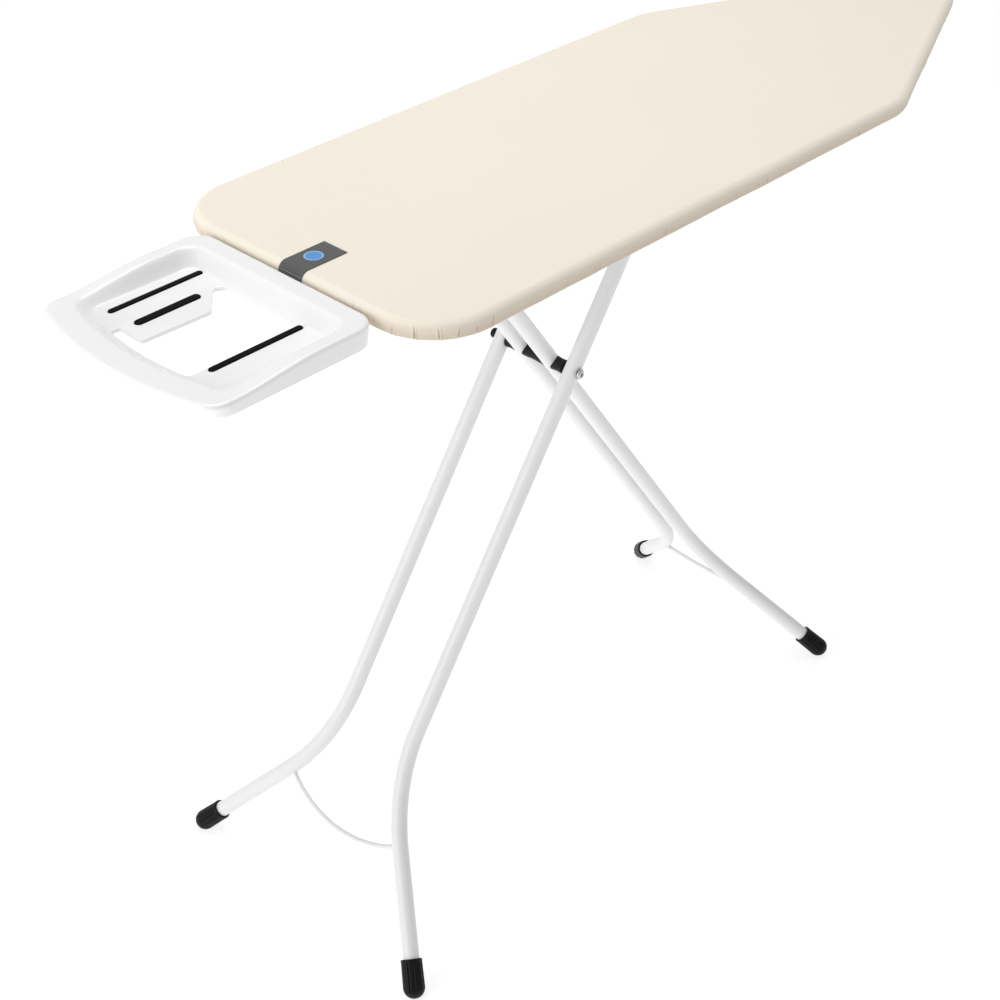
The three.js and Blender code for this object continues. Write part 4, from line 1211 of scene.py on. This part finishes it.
def add_iron_rest():
    """A moulded shell, with an opening in its floor and slots for the strips."""
    build = Build()
    outer_foot, floor_ring = build.skin(rest_outside())
    inner_foot, under_floor = build.skin(rest_inside())
    build.bridge(outer_foot, inner_foot)

    opening = rest_opening()
    lip, underside = 1.3 * MM, REST_FLOOR - REST_WALL
    rings = []
    for sine, versine in quarter(4):
        rings.append(raised(grown(opening, lip * (1 - sine)), REST_FLOOR - lip * versine))
    for growth, below in ((0, 2), (1.8, 2), (2.2, 0)):
        rings.append(raised(grown(opening, growth * MM), underside - below * MM))
    lip_top, lip_bottom = build.skin(rings)
    build.fill(under_floor, [lip_bottom], flip=True)

    slot_tops = []
    for _, *strip in STRIPS:
        slot = []
        for grow, below in ((0.7, 0), (0.3, 0.4), (0.25, 1.5)):
            slot.append(raised(strip_outline(*strip, grow * MM), REST_FLOOR - below * MM))
        slot_top, slot_bottom = build.skin(slot)
        build.cap(slot_bottom)
        slot_tops.append(slot_top)
    build.fill(floor_ring, [lip_top, *slot_tops])
    finish_piece("iron_rest_shell", build, "gloss", "board", ["iron_rest"], sharp=40)


def add_bosses():
    """Screw bosses under the floor of the rest, each with four small ribs."""
    bottom, top = REST_BOTTOM, REST_FLOOR - REST_WALL + 0.3 * MM
    profile = ((2.4, bottom + 5 * MM), (2.4, bottom), (4.7, bottom), (5.0, bottom + 0.5 * MM),
               (5.2, top - 1 * MM), (6.2, top))
    build = Build()
    for name in REST_SCREWS:
        low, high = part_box(name)
        middle = (low + high) / 2
        middle.z = 0
        build.closed_skin([[p + middle for p in circle(r * MM, 32, z)] for r, z in profile])
        for turn in range(4):
            rotation = Matrix.Rotation(math.pi / 2 * turn + math.pi / 4, 3, "Z")
            rib = []
            for start, end, z in ((4.5, 6.5, bottom + 1.5 * MM), (4.5, 10, top)):
                corners = ((start, -0.6), (end, -0.6), (end, 0.6), (start, 0.6))
                rib.append([rotation @ Vector((x * MM, y * MM, z)) + middle for x, y in corners])
            build.closed_skin(rib)
    finish_piece("iron_rest_bosses", build, "gloss", "board")


def add_strips():
    """Soft black strips with rounded tops, which keep a hot iron off the plastic."""
    rounding = 1 * MM
    for name, *strip in STRIPS:
        low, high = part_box(name)
        rings = [raised(strip_outline(*strip), low.z)]
        for sine, versine in quarter(5):
            outline = strip_outline(*strip, -rounding * versine)
            rings.append(raised(outline, high.z - rounding * (1 - sine)))
        build = Build()
        build.capped_skin(rings)
        finish_piece(name + "_silicone", build, "silicone", "board", [name], sharp=50)


def add_rest_screws():
    height = 2.4 * MM
    for name in REST_SCREWS:
        low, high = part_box(name)
        build = Build()
        socket_head(build, 4.4 * MM, height, 0, 2.6 * MM, 1.5 * MM, cross_reach)
        build.closed_skin(lathe([(2, 0.2), (2, -6)], 24))
        centre = (low + high) / 2
        centre.z = low.z + height
        flip = Matrix.Translation(centre) @ Matrix.Rotation(math.pi, 4, "X")
        finish_piece(name + "_plated", build, "steel", "board", [name], matrix=flip)


# --------------------------------------------------------------------------------------------- small pieces

def add_lock_spring():
    """A torsion spring of round wire about the lock shaft, with a straight leg at each end."""
    low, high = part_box("lock_spring")
    centre = (low + high) / 2
    wire, coil, turns = 0.55 * MM, 5.2 * MM, 12
    steps = turns * 20
    centres = []
    for k in range(steps + 1):
        a = 2 * math.pi * turns * k / steps
        x = low.x + 1 * MM + (high.x - low.x - 2 * MM) * k / steps
        centres.append(Vector((x, centre.y + coil * math.cos(a), centre.z + coil * math.sin(a))))
    start, end = centres[0], centres[-1]
    for k in range(1, 7):
        centres.insert(0, start + 0.85 * MM * k * Z)
        centres.append(end + 1.6 * MM * k * Y)
    rings = []
    for i, here in enumerate(centres):
        tangent = (centres[min(len(centres) - 1, i + 1)] - centres[max(0, i - 1)]).normalized()
        side = tangent.cross(X).normalized()
        rings.append(ring_about(here, side, tangent.cross(side), wire, 8))
    build = Build()
    build.closed_skin(rings)
    finish_piece("lock_spring_coil", build, "steel", "board", ["lock_spring"], sharp=80)


KEPT = {  # CAD nodes whose shape is already right: finish, and the width in mm of their softened edges
    "edge_rim": ("paint", 0.3), "rail_left": ("paint", 0.4), "rail_right": ("paint", 0.4),
    "rear_cross_beam": ("paint", 0.4), "front_cross_beam": ("paint", 0.4), "hinge_rod": ("steel", 0.5),
    "lock_shaft": ("steel", 0.5), "height_rack": ("steel", 0.3), "release_grip": ("plastic", 1.2),
    "hinge_bush_left": ("plastic", 0.4), "hinge_bush_right": ("plastic", 0.4),
    "inner_top_tube": ("paint", 0.4), "outer_top_rod": ("steel", 0.5), "glide_left": ("plastic", 0.8),
    "glide_right": ("plastic", 0.8), "rest_arm_left": ("paint", 0.5), "rest_arm_right": ("paint", 0.5),
}


def dress_kept_nodes():
    for name, (finish, width) in KEPT.items():
        node = NODES[name]
        material, slot = FINISHES[finish]
        node.data.materials.clear()
        node.data.materials.append(material)
        soften(node, width * MM, 2, 40)
        shade_smooth(node.data, 35)


add_camera()
add_studio()
add_cover()
add_pad()
add_plate()
add_label()
add_leg_frames()
add_pivot_stack()
add_iron_rest()
add_bosses()
add_strips()
add_rest_screws()
add_lock_spring()
dress_kept_nodes()
